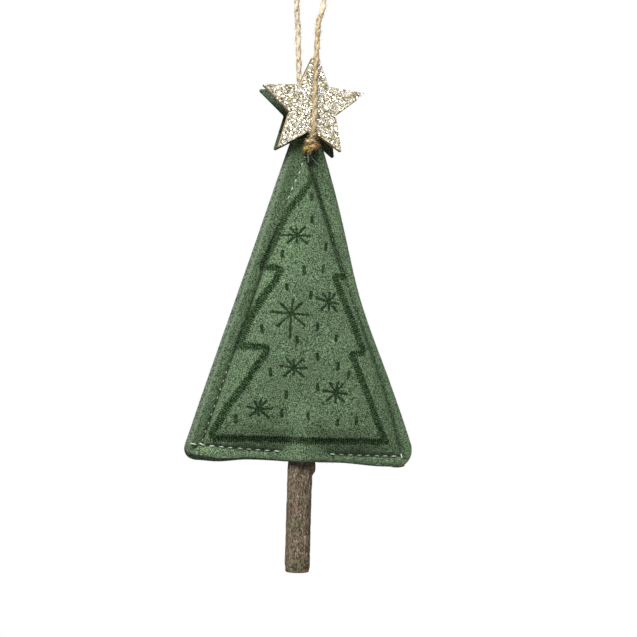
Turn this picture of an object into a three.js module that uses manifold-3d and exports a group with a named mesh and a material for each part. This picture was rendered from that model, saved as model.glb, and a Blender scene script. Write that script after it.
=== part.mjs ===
// Hanging felt tree ornament: two stitched felt panels stuffed with wadding, a twig for a trunk,
// a glittered wooden star on a felt star at the top, and a twine loop that is knotted through the tree.
//
// Millimetres, +Z up, -Y is the front. The origin is the inside top of the twine loop, where the
// ornament hangs. Below it, everything is placed from the twine hole near the top of the tree.

import * as THREE from "three";
import { mergeVertices } from "three/addons/utils/BufferGeometryUtils.js";
import Module from "manifold-3d";

const wasm = await Module();
wasm.setup();

// Driving dimensions

const LOOP_DROP = 62; // hanging point down to the twine hole

const TREE_WIDTH = 84.6; // felt panel across its bottom corners, before they are rounded
const TREE_HEIGHT = 130; // bottom edge up to the point where the side edges would meet
const HOLE_BELOW_POINT = 19.4; // twine hole under that point
const POINT_RADIUS = 3.4; // rounding of the tree's top
const CORNER_RADIUS = 5.2; // rounding of its two bottom corners
const RIGHT_EDGE_BOW = 1.3; // how far the right edge draws in, where its flange leans back

const FELT = 1.5; // thickness of the felt
const LAYER_GAP = 0.3; // between the two panels where they are stitched together
const LEFT_FLANGE = 5.9; // felt outside the seam
const BOTTOM_FLANGE = 4.0;
const RIGHT_FLANGE_LOW = 4.5; // at the bottom right corner
const RIGHT_FLANGE_HIGH = 6.4; // and at the top
const SEAM_BELLY = 1.6; // how far the lower part of the right seam bellies out
const LEFT_CURL = 1.5; // how far the left edge curls to the front
const CORNER_CURL = 2.6; // and the bottom left corner
const BOTTOM_CURL = 0.8; // and the bottom edge right of the trunk
const RIGHT_LEAN = 3.2; // how far the right edge leans to the back
const CORNER_LEAN = 1.2; // and the bottom right corner

const SEAM_POINT_RADIUS = 1.1; // rounding of the seam line at the top of the tree
const SEAM_CORNER_RADIUS = 1.2;
const SEAM_SINK = 0.65; // how deep the stitches pull each panel in
const SEAM_WIDTH = 1.0; // width over which the felt sinks
const SEAM_LAND = 0.6; // flat felt between the stitches and the foot of the crown

const FRONT_CROWN = 5.0; // height of the stuffing over the seam plane, to the inside of the felt
const BACK_CROWN = 4.8;
const CROWN_SHOULDER = 13; // distance over which a crown rises to its full height
const WADDING_GAP = 0.4; // stuffing to felt

const HOLE_RADIUS = 1.3; // twine hole through both panels
const TWINE_DIAMETER = 2.0;

const TRUNK_RADIUS = 4.3;
const TRUNK_BELOW_FELT = 37.9; // visible length of the twig
const TRUNK_IN_FELT = 16.1; // length that is glued inside
const TRUNK_GAP = 0.3; // twig to glue
const MOUTH_LEFT = 8.6; // open stretch of the bottom seam, to the left and right of the twig
const MOUTH_RIGHT = 11.2;
const MOUTH_CLEARANCE = 0.6; // twig to felt at the middle of the mouth
const MOUTH_DEPTH = 9; // how far inside the seam the mouth stays fully open
const MOUTH_FADE = 14; // and the length in which it melts into the crown

const STUB_RADIUS = 1.9; // cut side branch at the top of the visible twig
const STUB_REACH = 5.3; // its sawn face from the twig's axis
const STUB_BELOW_FELT = 2.1;

const GLUE_REACH = 7.5; // half width of the glue that holds the twig
const GLUE_HALF_DEPTH = 1.5;
const GLUE_LEG = 9.5; // height of its legs beside the twig
const GLUE_CAP = 3.2; // thickness over the twig's inner end

const STAR_TIP_RADIUS = 18.9;
const STAR_NOTCH_RADIUS = 8.6;
const STAR_TIP_ROUNDING = 0.5;
const STAR_ABOVE_HOLE = 13.8;
const STAR_TURN = THREE.MathUtils.degToRad(-2.2);
const BOARD_THICKNESS = 2.8;
const GLITTER_THICKNESS = 0.4;
const FELT_STAR_TIP_RADIUS = 18.7;
const FELT_STAR_NOTCH_RADIUS = 8.7;
const FELT_STAR_TIP_ROUNDING = 1.6;
const FELT_STAR_ABOVE_HOLE = 13.1;
const STAR_GLUE_THICKNESS = 0.5;
const STAR_GLUE_RADIUS = 2.4;
const STAR_GLUE_ABOVE_HOLE = 8.2;
const FACE_GAP = 0.05; // between flat faces that are glued together

const THREAD_DIAMETER = 0.5;
const THREAD_GAP = 0.3; // thread to felt
const THREAD_DIP = 0.12; // how far the thread rises and falls in each stitch
const STITCH = 3.1; // length of one stitch

const KNOT_RADIUS = 2.3;
const KNOT_GAP = 0.3; // knot to felt, and free twine to knot
const KNOT_WRAP_RADIUS = 1.7; // centreline of the two turns round the knot
const KNOT_WRAP_LEAN = THREE.MathUtils.degToRad(38);
const OVERRUN = 20; // how far a cutting tool runs past what it cuts
const MERGE_DISTANCE = 0.0001;

// How a turn round the tree, counted from its top by way of the left side, bends the flange:
// negative to the front, positive to the back
const curlStops = [
  { share: 0, curl: 0 },
  { share: 0.07, curl: -LEFT_CURL },
  { share: 0.265, curl: -LEFT_CURL },
  { share: 0.337, curl: -CORNER_CURL },
  { share: 0.42, curl: -LEFT_CURL },
  { share: 0.5, curl: 0 },
  { share: 0.6, curl: -BOTTOM_CURL },
  { share: 0.663, curl: CORNER_LEAN },
  { share: 0.74, curl: RIGHT_LEAN },
  { share: 0.9, curl: RIGHT_LEAN },
  { share: 1, curl: 0 },
];

// Free stretch of twine from the knot, up in front of the star, over the hanging point and down
// behind the star: points chosen by hand, from the twine hole
const loopRoute = [
  [0.2, -6.25, 3.2],
  [0.3, -6.75, 6.2],
  [0.4, -6.85, 12],
  [0.4, -6.85, 20],
  [0.4, -6.8, 28],
  [0.8, -6.4, 35],
  [1.6, -5.3, 42],
  [2.9, -3.4, 50],
  [4.3, -1.3, 57],
  [3.3, -0.3, 61.7],
  [0, 0, 63],
  [-3.3, 0.3, 61.7],
  [-5.2, 1.3, 57],
  [-5.4, 2.6, 50],
  [-4.7, 3.9, 42],
  [-4.2, 4.7, 35],
  [-3.6, 5.1, 27],
  [-2.5, 5.15, 19],
  [-1.3, 5.15, 11.5],
  [-0.4, 5.15, 6],
  [0, 5.15, 3.6],
];
const LOOP_STEPS = 48;

// The end of the twine behind the tree turns through the hole to the knot
const throughRoute = [
  [0, 5.15, 3.3],
  [0, 5.05, 1.9],
  [0, 4.3, 0.5],
  [0, 2.9, 0],
  [0, 0.5, 0],
  [0, -3.4, 0],
];
const THROUGH_STEPS = 10;

// Meshes and solids

function closedGeometry(positions, triangles) {
  const geometry = new THREE.BufferGeometry();
  geometry.setAttribute("position", new THREE.Float32BufferAttribute(positions, 3));
  geometry.setIndex(triangles);
  return geometry;
}

function solidOf(geometry) {
  const bare = geometry.clone();
  bare.deleteAttribute("normal");
  bare.deleteAttribute("uv");
  const merged = mergeVertices(bare, MERGE_DISTANCE);
  return new wasm.Manifold(
    new wasm.Mesh({
      numProp: 3,
      vertProperties: Float32Array.from(merged.attributes.position.array),
      triVerts: Uint32Array.from(merged.index.array),
    }),
  );
}

function geometryOf(solid) {
  const { vertProperties, triVerts } = solid.getMesh();
  return closedGeometry(vertProperties, Array.from(triVerts));
}

function meshOf(name, geometry, color, roughness, metalness = 0) {
  const shaded = geometry.index ? geometry.toNonIndexed() : geometry;
  shaded.computeVertexNormals();
  const mesh = new THREE.Mesh(
    shaded,
    new THREE.MeshStandardMaterial({ color, roughness, metalness }),
  );
  mesh.name = name;
  return mesh;
}

// A round tube along a hand-chosen route
function tube(route, steps, diameter, sides) {
  const curve = new THREE.CatmullRomCurve3(
    route.map(([x, y, z]) => new THREE.Vector3(x, y, z)),
    false,
    "centripetal",
  );
  return new THREE.ExtrudeGeometry(roundSection(diameter, sides), {
    steps,
    extrudePath: curve,
  });
}

function roundSection(diameter, sides) {
  const points = [];
  for (let k = 0; k < sides; k++) {
    const angle = ((k + 0.5) / sides) * 2 * Math.PI;
    points.push(
      new THREE.Vector2(Math.cos(angle), Math.sin(angle)).multiplyScalar(diameter / 2),
    );
  }
  return new THREE.Shape(points);
}

// A flat plate: a shape drawn in X and Z, from the plane y = front to the plane y = back
function plate(shape, front, back) {
  const geometry = new THREE.ExtrudeGeometry(shape, {
    depth: back - front,
    bevelEnabled: false,
    curveSegments: 3,
  });
  geometry.rotateX(Math.PI / 2);
  geometry.translate(0, back, 0);
  return geometry;
}

// Outline of the felt tree. Corners go round from the top by way of the left one, seen from the front

const apexShare = -0.018; // the point lies a little to the left of the hole
const leftShare = -0.508;
const rightShare = 0.492;

const edgeCorners = [
  new THREE.Vector2(apexShare * TREE_WIDTH, HOLE_BELOW_POINT),
  new THREE.Vector2(leftShare * TREE_WIDTH, HOLE_BELOW_POINT - TREE_HEIGHT),
  new THREE.Vector2(rightShare * TREE_WIDTH, HOLE_BELOW_POINT - TREE_HEIGHT),
];
const BOTTOM_EDGE = HOLE_BELOW_POINT - TREE_HEIGHT;

function sideOf(corners, k) {
  const from = corners[k];
  const along = corners[(k + 1) % 3].clone().sub(from).normalize();
  const inward = new THREE.Vector2(-along.y, along.x);
  return { from, along, inward };
}

// The same triangle with its left, bottom and right side moved in, each by one width at its start
// and one at its end
function insetCorners(corners, widths) {
  const lines = corners.map((_, k) => {
    const { from, inward } = sideOf(corners, k);
    const start = from.clone().addScaledVector(inward, widths[k][0]);
    const end = corners[(k + 1) % 3].clone().addScaledVector(inward, widths[k][1]);
    return { start, run: end.sub(start) };
  });
  return lines.map((line, k) => {
    const before = lines[(k + 2) % 3];
    const reach =
      line.start.clone().sub(before.start).cross(line.run) / before.run.cross(line.run);
    return before.start.clone().addScaledVector(before.run, reach);
  });
}

const seamCorners = insetCorners(edgeCorners, [
  [LEFT_FLANGE, LEFT_FLANGE],
  [BOTTOM_FLANGE, BOTTOM_FLANGE],
  [RIGHT_FLANGE_LOW, RIGHT_FLANGE_HIGH],
]);
const seamSides = seamCorners.map((_, k) => sideOf(seamCorners, k));
const seamLengths = seamCorners.map((c, k) => c.distanceTo(seamCorners[(k + 1) % 3]));

// Along the right seam, counted from its bottom corner
const bellyRunShare = 0.55;
const bellySkewShare = 0.7;

function seamBelly(share) {
  const run = THREE.MathUtils.clamp(share / bellyRunShare, 0, 1) ** bellySkewShare;
  return SEAM_BELLY * Math.sin(Math.PI * run) ** 2;
}

function insideSeam(p) {
  return seamSides.map(({ from, along, inward }, k) => {
    const off = p.clone().sub(from);
    const belly = k === 2 ? seamBelly(off.dot(along) / seamLengths[k]) : 0;
    return off.dot(inward) + belly;
  });
}

const seamPerimeter = seamLengths[0] + seamLengths[1] + seamLengths[2];
const seamCentre = new THREE.Vector2();
seamCorners.forEach((c, k) =>
  seamCentre.addScaledVector(c, seamLengths[(k + 1) % 3] / seamPerimeter),
);
const seamInradius = insideSeam(seamCentre)[0];

// Points round a triangle with rounded corners. The bottom has more points near the trunk
const ARC_STEPS = 4;
const sideShares = Array.from({ length: 13 }, (_, k) => (k + 1) / 14);
const bottomShares = [
  0.12, 0.24, 0.33, 0.385, 0.42, 0.452, 0.484, 0.516, 0.548, 0.58, 0.615, 0.67, 0.76, 0.88,
];

function roundedRing(corners, radii, bows) {
  const arcs = corners.map((corner, k) => {
    const toBefore = corners[(k + 2) % 3].clone().sub(corner).normalize();
    const toAfter = corners[(k + 1) % 3].clone().sub(corner).normalize();
    const half = Math.acos(toBefore.dot(toAfter)) / 2;
    const centre = toBefore.clone().add(toAfter).normalize();
    centre.multiplyScalar(radii[k] / Math.sin(half)).add(corner);
    const start = toBefore.multiplyScalar(radii[k] / Math.tan(half)).add(corner);
    const turn = (Math.PI - 2 * half) / ARC_STEPS;
    return Array.from({ length: ARC_STEPS + 1 }, (_, step) =>
      start.clone().rotateAround(centre, turn * step),
    );
  });
  const ring = [];
  arcs.forEach((arc, k) => {
    const { inward } = sideOf(corners, k);
    const start = arc[ARC_STEPS];
    const end = arcs[(k + 1) % 3][0];
    ring.push(...arc);
    for (const share of k === 1 ? bottomShares : sideShares) {
      ring.push(start.clone().lerp(end, share).addScaledVector(inward, bows[k](share)));
    }
  });
  return ring;
}

const straight = () => 0;
const edgeRing = roundedRing(
  edgeCorners,
  [POINT_RADIUS, CORNER_RADIUS, CORNER_RADIUS],
  [straight, straight, (share) => RIGHT_EDGE_BOW * Math.sin(Math.PI * share)],
);
const seamRing = roundedRing(
  seamCorners,
  [SEAM_POINT_RADIUS, SEAM_CORNER_RADIUS, SEAM_CORNER_RADIUS],
  [straight, straight, (share) => -seamBelly(share)],
);

const flangeShares = [0, 0.5, 0.82, 1]; // from the cut edge in to the seam
const crownShares = [0.025, 0.075, 0.14, 0.22, 0.34, 0.5, 0.7]; // from the seam to its centre

const flangeRings = flangeShares.map((share) =>
  edgeRing.map((p, i) => p.clone().lerp(seamRing[i], share)),
);
const crownRings = crownShares.map((share) =>
  seamRing.map((p) => p.clone().lerp(seamCentre, share)),
);

// The felt's shape: how far it stands off the seam plane at a point of the tree

function rise(distance) {
  const share = THREE.MathUtils.clamp((distance - SEAM_LAND) / CROWN_SHOULDER, 0, 1);
  return Math.sqrt(1 - (1 - share) ** 2);
}

function mouthHeight(p, bottomDistance) {
  const half = p.x < 0 ? MOUTH_LEFT : MOUTH_RIGHT;
  const across = Math.min(Math.abs(p.x) / half, 1);
  const fade = THREE.MathUtils.smoothstep(
    bottomDistance,
    MOUTH_DEPTH,
    MOUTH_DEPTH + MOUTH_FADE,
  );
  const bump = (1 + Math.cos(Math.PI * across)) / 2;
  return (TRUNK_RADIUS + MOUTH_CLEARANCE) * bump * (1 - fade);
}

// Gap from the seam plane to the inside of the felt: the stuffing's crown, and the mouth for the
// twig, melted into each other
function stuffedHeight(p, crown) {
  const [left, bottom, right] = insideSeam(p);
  const pillow = crown * rise(left) * rise(bottom) * rise(right);
  return (pillow ** 4 + mouthHeight(p, bottom) ** 4) ** 0.25;
}

function seamSink(p) {
  const distances = insideSeam(p);
  const off = Math.min(...distances) / SEAM_WIDTH;
  const mouth = mouthHeight(p, distances[1]) / (TRUNK_RADIUS + MOUTH_CLEARANCE);
  return SEAM_SINK * Math.exp(-(off ** 2)) * (1 - mouth);
}

function curl(p) {
  const outside = Math.max(0, -Math.min(...insideSeam(p))) / LEFT_FLANGE;
  const turn = Math.atan2(seamCentre.x - p.x, p.y - seamCentre.y) / (2 * Math.PI);
  const share = (turn + 1) % 1;
  const next = curlStops.findIndex((stop) => stop.share > share);
  const a = curlStops[next - 1];
  const b = curlStops[next];
  const blend = THREE.MathUtils.smoothstep(share, a.share, b.share);
  return THREE.MathUtils.lerp(a.curl, b.curl, blend) * outside ** 2;
}

function frontInside(p) {
  return curl(p) - LAYER_GAP / 2 - stuffedHeight(p, FRONT_CROWN);
}

function backInside(p) {
  return curl(p) + LAYER_GAP / 2 + stuffedHeight(p, BACK_CROWN);
}

function frontOutside(p) {
  return frontInside(p) - FELT + seamSink(p);
}

function backOutside(p) {
  return backInside(p) + FELT - seamSink(p);
}

// A closed sheet over rings that run in to a centre point, between two surfaces
function sheet(rings, centre, frontY, backY) {
  const positions = [];
  const triangles = [];
  const count = rings[0].length;
  const layerSize = rings.length * count + 1;
  for (const surface of [frontY, backY]) {
    for (const p of [...rings.flat(), centre]) {
      positions.push(p.x, surface(p), p.y);
    }
  }
  const triangle = (front, a, b, c) => {
    const base = front ? 0 : layerSize;
    triangles.push(base + a, base + (front ? b : c), base + (front ? c : b));
  };
  for (const front of [true, false]) {
    for (let i = 0; i < count; i++) {
      const j = (i + 1) % count;
      for (let k = 0; k + 1 < rings.length; k++) {
        const outer = k * count;
        const inner = outer + count;
        triangle(front, outer + i, outer + j, inner + j);
        triangle(front, outer + i, inner + j, inner + i);
      }
      const last = (rings.length - 1) * count;
      triangle(front, last + i, last + j, layerSize - 1);
    }
  }
  for (let i = 0; i < count; i++) {
    const j = (i + 1) % count;
    triangles.push(i, layerSize + i, j, layerSize + i, layerSize + j, j);
  }
  return closedGeometry(positions, triangles);
}

// Felt panels and the wadding between them

const panelRings = [...flangeRings, ...crownRings];

function panel(name, frontY, backY, color) {
  const hole = new THREE.CylinderGeometry(HOLE_RADIUS, HOLE_RADIUS, 2 * OVERRUN, 16);
  const felt = solidOf(sheet(panelRings, seamCentre, frontY, backY));
  return meshOf(name, geometryOf(felt.subtract(solidOf(hole))), color, 0.95);
}

const TRUNK_TOP = BOTTOM_EDGE + TRUNK_IN_FELT;
const TRUNK_FOOT = BOTTOM_EDGE - TRUNK_BELOW_FELT;
const GLUE_TOP = TRUNK_TOP + TRUNK_GAP + GLUE_CAP;

function wadding() {
  const rings = crownRings.slice(2);
  const fill = solidOf(
    sheet(
      rings,
      seamCentre,
      (p) => frontInside(p) + WADDING_GAP,
      (p) => backInside(p) - WADDING_GAP,
    ),
  );
  const slot = new THREE.BoxGeometry(
    2 * (GLUE_REACH + WADDING_GAP),
    2 * OVERRUN,
    2 * OVERRUN,
  );
  slot.translate(0, 0, GLUE_TOP + WADDING_GAP - OVERRUN);
  return meshOf("wadding", geometryOf(fill.subtract(solidOf(slot))), 0xece9df, 1);
}

// Twig trunk

const TRUNK_SIDES = 14;
const TRUNK_RINGS = 9;
const barkRidgeShare = 0.02; // swelling of the bark, as a share of the twig's radius
const barkLumpShare = 0.012;

function trunkRadius(angle, share) {
  const ridges = barkRidgeShare * Math.cos(3 * angle + 2 * share);
  const lumps = barkLumpShare * Math.cos(5 * angle - 7 * share);
  return TRUNK_RADIUS * (1 + ridges + lumps);
}

function trunk() {
  const positions = [0, 0, TRUNK_FOOT];
  const triangles = [];
  for (let k = 0; k < TRUNK_RINGS; k++) {
    const share = k / (TRUNK_RINGS - 1);
    const z = THREE.MathUtils.lerp(TRUNK_FOOT, TRUNK_TOP, share);
    for (let i = 0; i < TRUNK_SIDES; i++) {
      const angle = (i / TRUNK_SIDES) * 2 * Math.PI;
      const r = trunkRadius(angle, share);
      positions.push(r * Math.cos(angle), r * Math.sin(angle), z);
    }
  }
  positions.push(0, 0, TRUNK_TOP);
  const top = 1 + TRUNK_RINGS * TRUNK_SIDES;
  const lastRing = top - TRUNK_SIDES;
  for (let i = 0; i < TRUNK_SIDES; i++) {
    const j = (i + 1) % TRUNK_SIDES;
    triangles.push(0, 1 + j, 1 + i, top, lastRing + i, lastRing + j);
    for (let k = 0; k + 1 < TRUNK_RINGS; k++) {
      const low = 1 + k * TRUNK_SIDES;
      const high = low + TRUNK_SIDES;
      triangles.push(low + i, low + j, high + j, low + i, high + j, high + i);
    }
  }
  const twig = solidOf(closedGeometry(positions, triangles));
  const stub = new THREE.CylinderGeometry(STUB_RADIUS, STUB_RADIUS, STUB_REACH, 10);
  stub.rotateZ(Math.PI / 2);
  stub.translate(STUB_REACH / 2, 0, BOTTOM_EDGE - STUB_BELOW_FELT);
  return meshOf("trunk", geometryOf(twig.add(solidOf(stub))), 0x6c5f4e, 0.9);
}

// Glue cap over the twig's inner end, with a leg on each side of the twig
function trunkGlue() {
  const inner = TRUNK_RADIUS * (1 + barkRidgeShare + barkLumpShare) + TRUNK_GAP;
  const foot = GLUE_TOP - GLUE_CAP - GLUE_LEG;
  const shape = new THREE.Shape();
  shape.moveTo(-GLUE_REACH, foot);
  shape.lineTo(-inner, foot);
  shape.lineTo(-inner, GLUE_TOP - GLUE_CAP);
  shape.lineTo(inner, GLUE_TOP - GLUE_CAP);
  shape.lineTo(inner, foot);
  shape.lineTo(GLUE_REACH, foot);
  shape.lineTo(GLUE_REACH, GLUE_TOP - GLUE_CAP);
  shape.quadraticCurveTo(GLUE_REACH, GLUE_TOP, GLUE_REACH - GLUE_CAP, GLUE_TOP);
  shape.lineTo(GLUE_CAP - GLUE_REACH, GLUE_TOP);
  shape.quadraticCurveTo(-GLUE_REACH, GLUE_TOP, -GLUE_REACH, GLUE_TOP - GLUE_CAP);
  const glue = plate(shape, -GLUE_HALF_DEPTH, GLUE_HALF_DEPTH);
  return meshOf("trunk_glue", glue, 0xe6dcc0, 0.4);
}

// Stars

function starShape(tipRadius, notchRadius, rounding, height) {
  const at = (k) => {
    const angle = Math.PI / 2 + STAR_TURN + (k * Math.PI) / 5;
    const radius = k % 2 ? notchRadius : tipRadius;
    return new THREE.Vector2(Math.cos(angle), Math.sin(angle))
      .multiplyScalar(radius)
      .add(new THREE.Vector2(0, height));
  };
  const shape = new THREE.Shape();
  for (let k = 0; k < 10; k += 2) {
    const tip = at(k);
    const before = at(k + 9);
    const after = at(k + 1);
    const start = tip.clone().lerp(before, rounding / tip.distanceTo(before));
    const end = tip.clone().lerp(after, rounding / tip.distanceTo(after));
    if (k === 0) shape.moveTo(start.x, start.y);
    else shape.lineTo(start.x, start.y);
    shape.quadraticCurveTo(tip.x, tip.y, end.x, end.y);
    shape.lineTo(after.x, after.y);
  }
  return shape;
}

const FELT_FACE = LAYER_GAP / 2 + FELT; // outer face of the flat felt round the twine hole
const GLUE_FACE = FELT_FACE + FACE_GAP;
const STAR_BACK = GLUE_FACE + STAR_GLUE_THICKNESS + FACE_GAP;
const BOARD_FRONT = STAR_BACK + BOARD_THICKNESS;
const GLITTER_BACK = BOARD_FRONT + FACE_GAP;

const boardShape = starShape(
  STAR_TIP_RADIUS,
  STAR_NOTCH_RADIUS,
  STAR_TIP_ROUNDING,
  STAR_ABOVE_HOLE,
);
const feltStarShape = starShape(
  FELT_STAR_TIP_RADIUS,
  FELT_STAR_NOTCH_RADIUS,
  FELT_STAR_TIP_ROUNDING,
  FELT_STAR_ABOVE_HOLE,
);

function stars() {
  const glueShape = new THREE.Shape();
  glueShape.absarc(0, STAR_GLUE_ABOVE_HOLE, STAR_GLUE_RADIUS, 0, 2 * Math.PI);
  const glueEnd = GLUE_FACE + STAR_GLUE_THICKNESS;
  const glitterFront = GLITTER_BACK + GLITTER_THICKNESS;
  const board = plate(boardShape, -BOARD_FRONT, -STAR_BACK);
  const glitter = plate(boardShape, -glitterFront, -GLITTER_BACK);
  const felt = plate(feltStarShape, STAR_BACK, STAR_BACK + FELT);
  return [
    meshOf("star_board", board, 0xc9a26b, 0.8),
    meshOf("star_glitter", glitter, 0xcfcab2, 0.35, 0.6),
    meshOf("star_felt", felt, 0x3f5a42, 0.95),
    meshOf("star_glue_front", plate(glueShape, -glueEnd, -GLUE_FACE), 0xe6dcc0, 0.4),
    meshOf("star_glue_back", plate(glueShape, GLUE_FACE, glueEnd), 0xe6dcc0, 0.4),
  ];
}

// Seam threads: a needle thread on the front and a bobbin thread on the back of each seam

class SeamThread extends THREE.Curve {
  constructor(corners, faceY, side) {
    super();
    this.path = new THREE.CurvePath();
    for (let k = 0; k + 1 < corners.length; k++) {
      this.path.add(new THREE.LineCurve(corners[k], corners[k + 1]));
    }
    this.faceY = faceY;
    this.side = side;
    this.stitches = Math.round(this.path.getLength() / STITCH);
    this.arcLengthDivisions = 8 * this.stitches;
  }

  getPoint(t, target = new THREE.Vector3()) {
    const p = this.path.getPointAt(t);
    const off = THREAD_GAP + THREAD_DIAMETER / 2;
    const wave = (THREAD_DIP * (1 - Math.cos(2 * Math.PI * this.stitches * t))) / 2;
    return target.set(p.x, this.faceY(p) + this.side * (off + wave), p.y);
  }
}

const THREAD_INSET = 2.4; // a thread ends this far from the point of the seam

function seamThread(name, corners, faceY, side) {
  const curve = new SeamThread(corners, faceY, side);
  const thread = new THREE.ExtrudeGeometry(roundSection(THREAD_DIAMETER, 4), {
    steps: 2 * curve.stitches,
    extrudePath: curve,
  });
  return meshOf(name, thread, 0xc9d3bd, 0.7);
}

function alongSeam(k, distance) {
  const { from, along, inward } = seamSides[k];
  const belly = k === 2 ? seamBelly(distance / seamLengths[k]) : 0;
  return from.clone().addScaledVector(along, distance).addScaledVector(inward, -belly);
}

const RIGHT_THREAD_STEPS = 24;

function rightSeamPoints(start, end) {
  return Array.from({ length: RIGHT_THREAD_STEPS + 1 }, (_, step) =>
    alongSeam(2, THREE.MathUtils.lerp(start, end, step / RIGHT_THREAD_STEPS)),
  );
}

function seamThreads() {
  const [leftLength, bottomLength, rightLength] = seamLengths;
  const bottomLeft = -seamCorners[1].x;
  const runs = {
    left: [alongSeam(0, 3 * THREAD_INSET), alongSeam(0, leftLength - THREAD_INSET)],
    bottom: [alongSeam(1, 0), alongSeam(1, bottomLeft - MOUTH_LEFT)],
    right: [
      alongSeam(1, bottomLeft + MOUTH_RIGHT),
      alongSeam(1, bottomLength - SEAM_CORNER_RADIUS / 2),
      ...rightSeamPoints(SEAM_CORNER_RADIUS / 2, rightLength - 3 * THREAD_INSET),
    ],
  };
  return Object.entries(runs).flatMap(([run, corners]) => [
    seamThread(`seam_${run}_front`, corners, frontOutside, -1),
    seamThread(`seam_${run}_back`, corners, backOutside, 1),
  ]);
}

// Twine: the free loop, and the knot with the end that runs through the hole

function twineLoop() {
  return meshOf("twine_loop", tube(loopRoute, LOOP_STEPS, TWINE_DIAMETER, 8), 0xc9b084, 0.9);
}

function twineKnot() {
  const middle = -(FELT_FACE + KNOT_GAP + KNOT_RADIUS);
  const heart = new THREE.SphereGeometry(KNOT_RADIUS, 14, 9);
  heart.translate(0, middle, 0);
  let knot = solidOf(heart);
  for (const lean of [KNOT_WRAP_LEAN, -KNOT_WRAP_LEAN]) {
    const turn = new THREE.TorusGeometry(KNOT_WRAP_RADIUS, TWINE_DIAMETER / 2, 8, 18);
    turn.rotateX(Math.PI / 2);
    turn.rotateY(lean);
    turn.translate(0, middle, 0);
    knot = knot.add(solidOf(turn));
  }
  knot = knot.add(solidOf(tube(throughRoute, THROUGH_STEPS, TWINE_DIAMETER, 8)));
  return meshOf("twine_knot", geometryOf(knot), 0xa98c55, 0.9);
}

// The whole ornament, hung from its loop

const feltGreen = 0x61775a;
const ornament = new THREE.Group();
ornament.name = "felt_tree_ornament";
const fromHole = new THREE.Group();
fromHole.position.z = -LOOP_DROP;
fromHole.add(
  panel("front_panel", frontOutside, frontInside, feltGreen),
  panel("back_panel", backInside, backOutside, feltGreen),
  wadding(),
  trunk(),
  trunkGlue(),
  ...stars(),
  ...seamThreads(),
  twineLoop(),
  twineKnot(),
);
ornament.add(fromHole);

export default ornament;
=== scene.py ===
# %% [markdown]
# # A hanging felt tree
#
# Two felt panels are stitched together and stuffed, a twig is glued into the open middle of the
# bottom seam, a glittered wooden star and a felt star sit at the top, and a twine loop is knotted
# through the tree. Every one of these stays a piece of its own here. Each piece rides on one of
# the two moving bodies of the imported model: the hanger, which is the twine, or the ornament.
#
# Lengths are in millimetres from the twine hole, as a maker would measure them. They become
# metres from the hanging point when a mesh is made.

import math
from functools import cached_property

import bmesh
import bpy
import numpy as np
from mathutils import Matrix, Vector, kdtree, noise


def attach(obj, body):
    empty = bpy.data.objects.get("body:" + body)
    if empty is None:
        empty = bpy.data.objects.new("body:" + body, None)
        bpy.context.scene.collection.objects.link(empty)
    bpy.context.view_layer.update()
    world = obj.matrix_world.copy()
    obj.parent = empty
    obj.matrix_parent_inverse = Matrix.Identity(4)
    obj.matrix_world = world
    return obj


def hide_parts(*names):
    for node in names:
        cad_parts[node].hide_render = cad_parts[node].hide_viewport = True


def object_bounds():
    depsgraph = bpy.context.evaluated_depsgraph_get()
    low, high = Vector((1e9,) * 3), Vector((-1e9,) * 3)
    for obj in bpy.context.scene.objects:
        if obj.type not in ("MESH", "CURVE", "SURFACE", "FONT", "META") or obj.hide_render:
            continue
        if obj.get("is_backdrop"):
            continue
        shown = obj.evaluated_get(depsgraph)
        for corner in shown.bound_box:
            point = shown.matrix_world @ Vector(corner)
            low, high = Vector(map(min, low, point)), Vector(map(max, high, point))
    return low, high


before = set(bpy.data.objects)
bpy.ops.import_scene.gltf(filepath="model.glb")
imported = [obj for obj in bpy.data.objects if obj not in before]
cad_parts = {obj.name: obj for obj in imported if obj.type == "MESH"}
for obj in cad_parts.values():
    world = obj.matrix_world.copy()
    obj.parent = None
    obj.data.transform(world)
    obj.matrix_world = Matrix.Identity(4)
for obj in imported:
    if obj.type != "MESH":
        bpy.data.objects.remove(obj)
cad_box = [list(corner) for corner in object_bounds()]

MM = 0.001
LOOP_DROP = 62.0
HOLE = np.array([0.0, 0.0, -LOOP_DROP * MM])
SEED = 24
noise.seed_set(SEED)


def to_metres(points):
    """Millimetres from the twine hole to metres from the hanging point."""
    return np.asarray(points, float) * MM + HOLE


# %% [markdown]
# ## Camera
#
# The photograph looks at the tree level, from a little to its left, with a long lens. The lens
# is chosen from the width that the picture covers at the tree, so the sizes in the picture and
# in the model agree. The tree leans clockwise by under two degrees, so the camera rolls by as
# much the other way and the ornament itself can hang straight.

# %% Camera at the photograph's angle
CAMERA_LEFT = math.radians(10)
CAMERA_ROLL = math.radians(1.7)
CAMERA_DISTANCE = 600.0
PICTURE_WIDTH = 223.0
AIM = (5.06, 0.0, -59.9)

looking = Vector((math.sin(CAMERA_LEFT), math.cos(CAMERA_LEFT), 0))
level = looking.cross(Vector((0, 0, 1))).normalized()
right = level * math.cos(CAMERA_ROLL) + Vector((0, 0, math.sin(CAMERA_ROLL)))
turn = Matrix((right, right.cross(looking), -looking)).transposed().to_4x4()

lens = bpy.data.cameras.new("camera")
lens.sensor_width = 36
lens.lens = lens.sensor_width * CAMERA_DISTANCE / PICTURE_WIDTH
lens.clip_start = 0.01
camera = bpy.data.objects.new("camera", lens)
standpoint = Vector(to_metres(AIM)) - looking * CAMERA_DISTANCE * MM
camera.matrix_world = Matrix.Translation(standpoint) @ turn
bpy.context.collection.objects.link(camera)
bpy.context.scene.camera = camera
print("lens:", round(lens.lens, 1), "mm")

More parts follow.
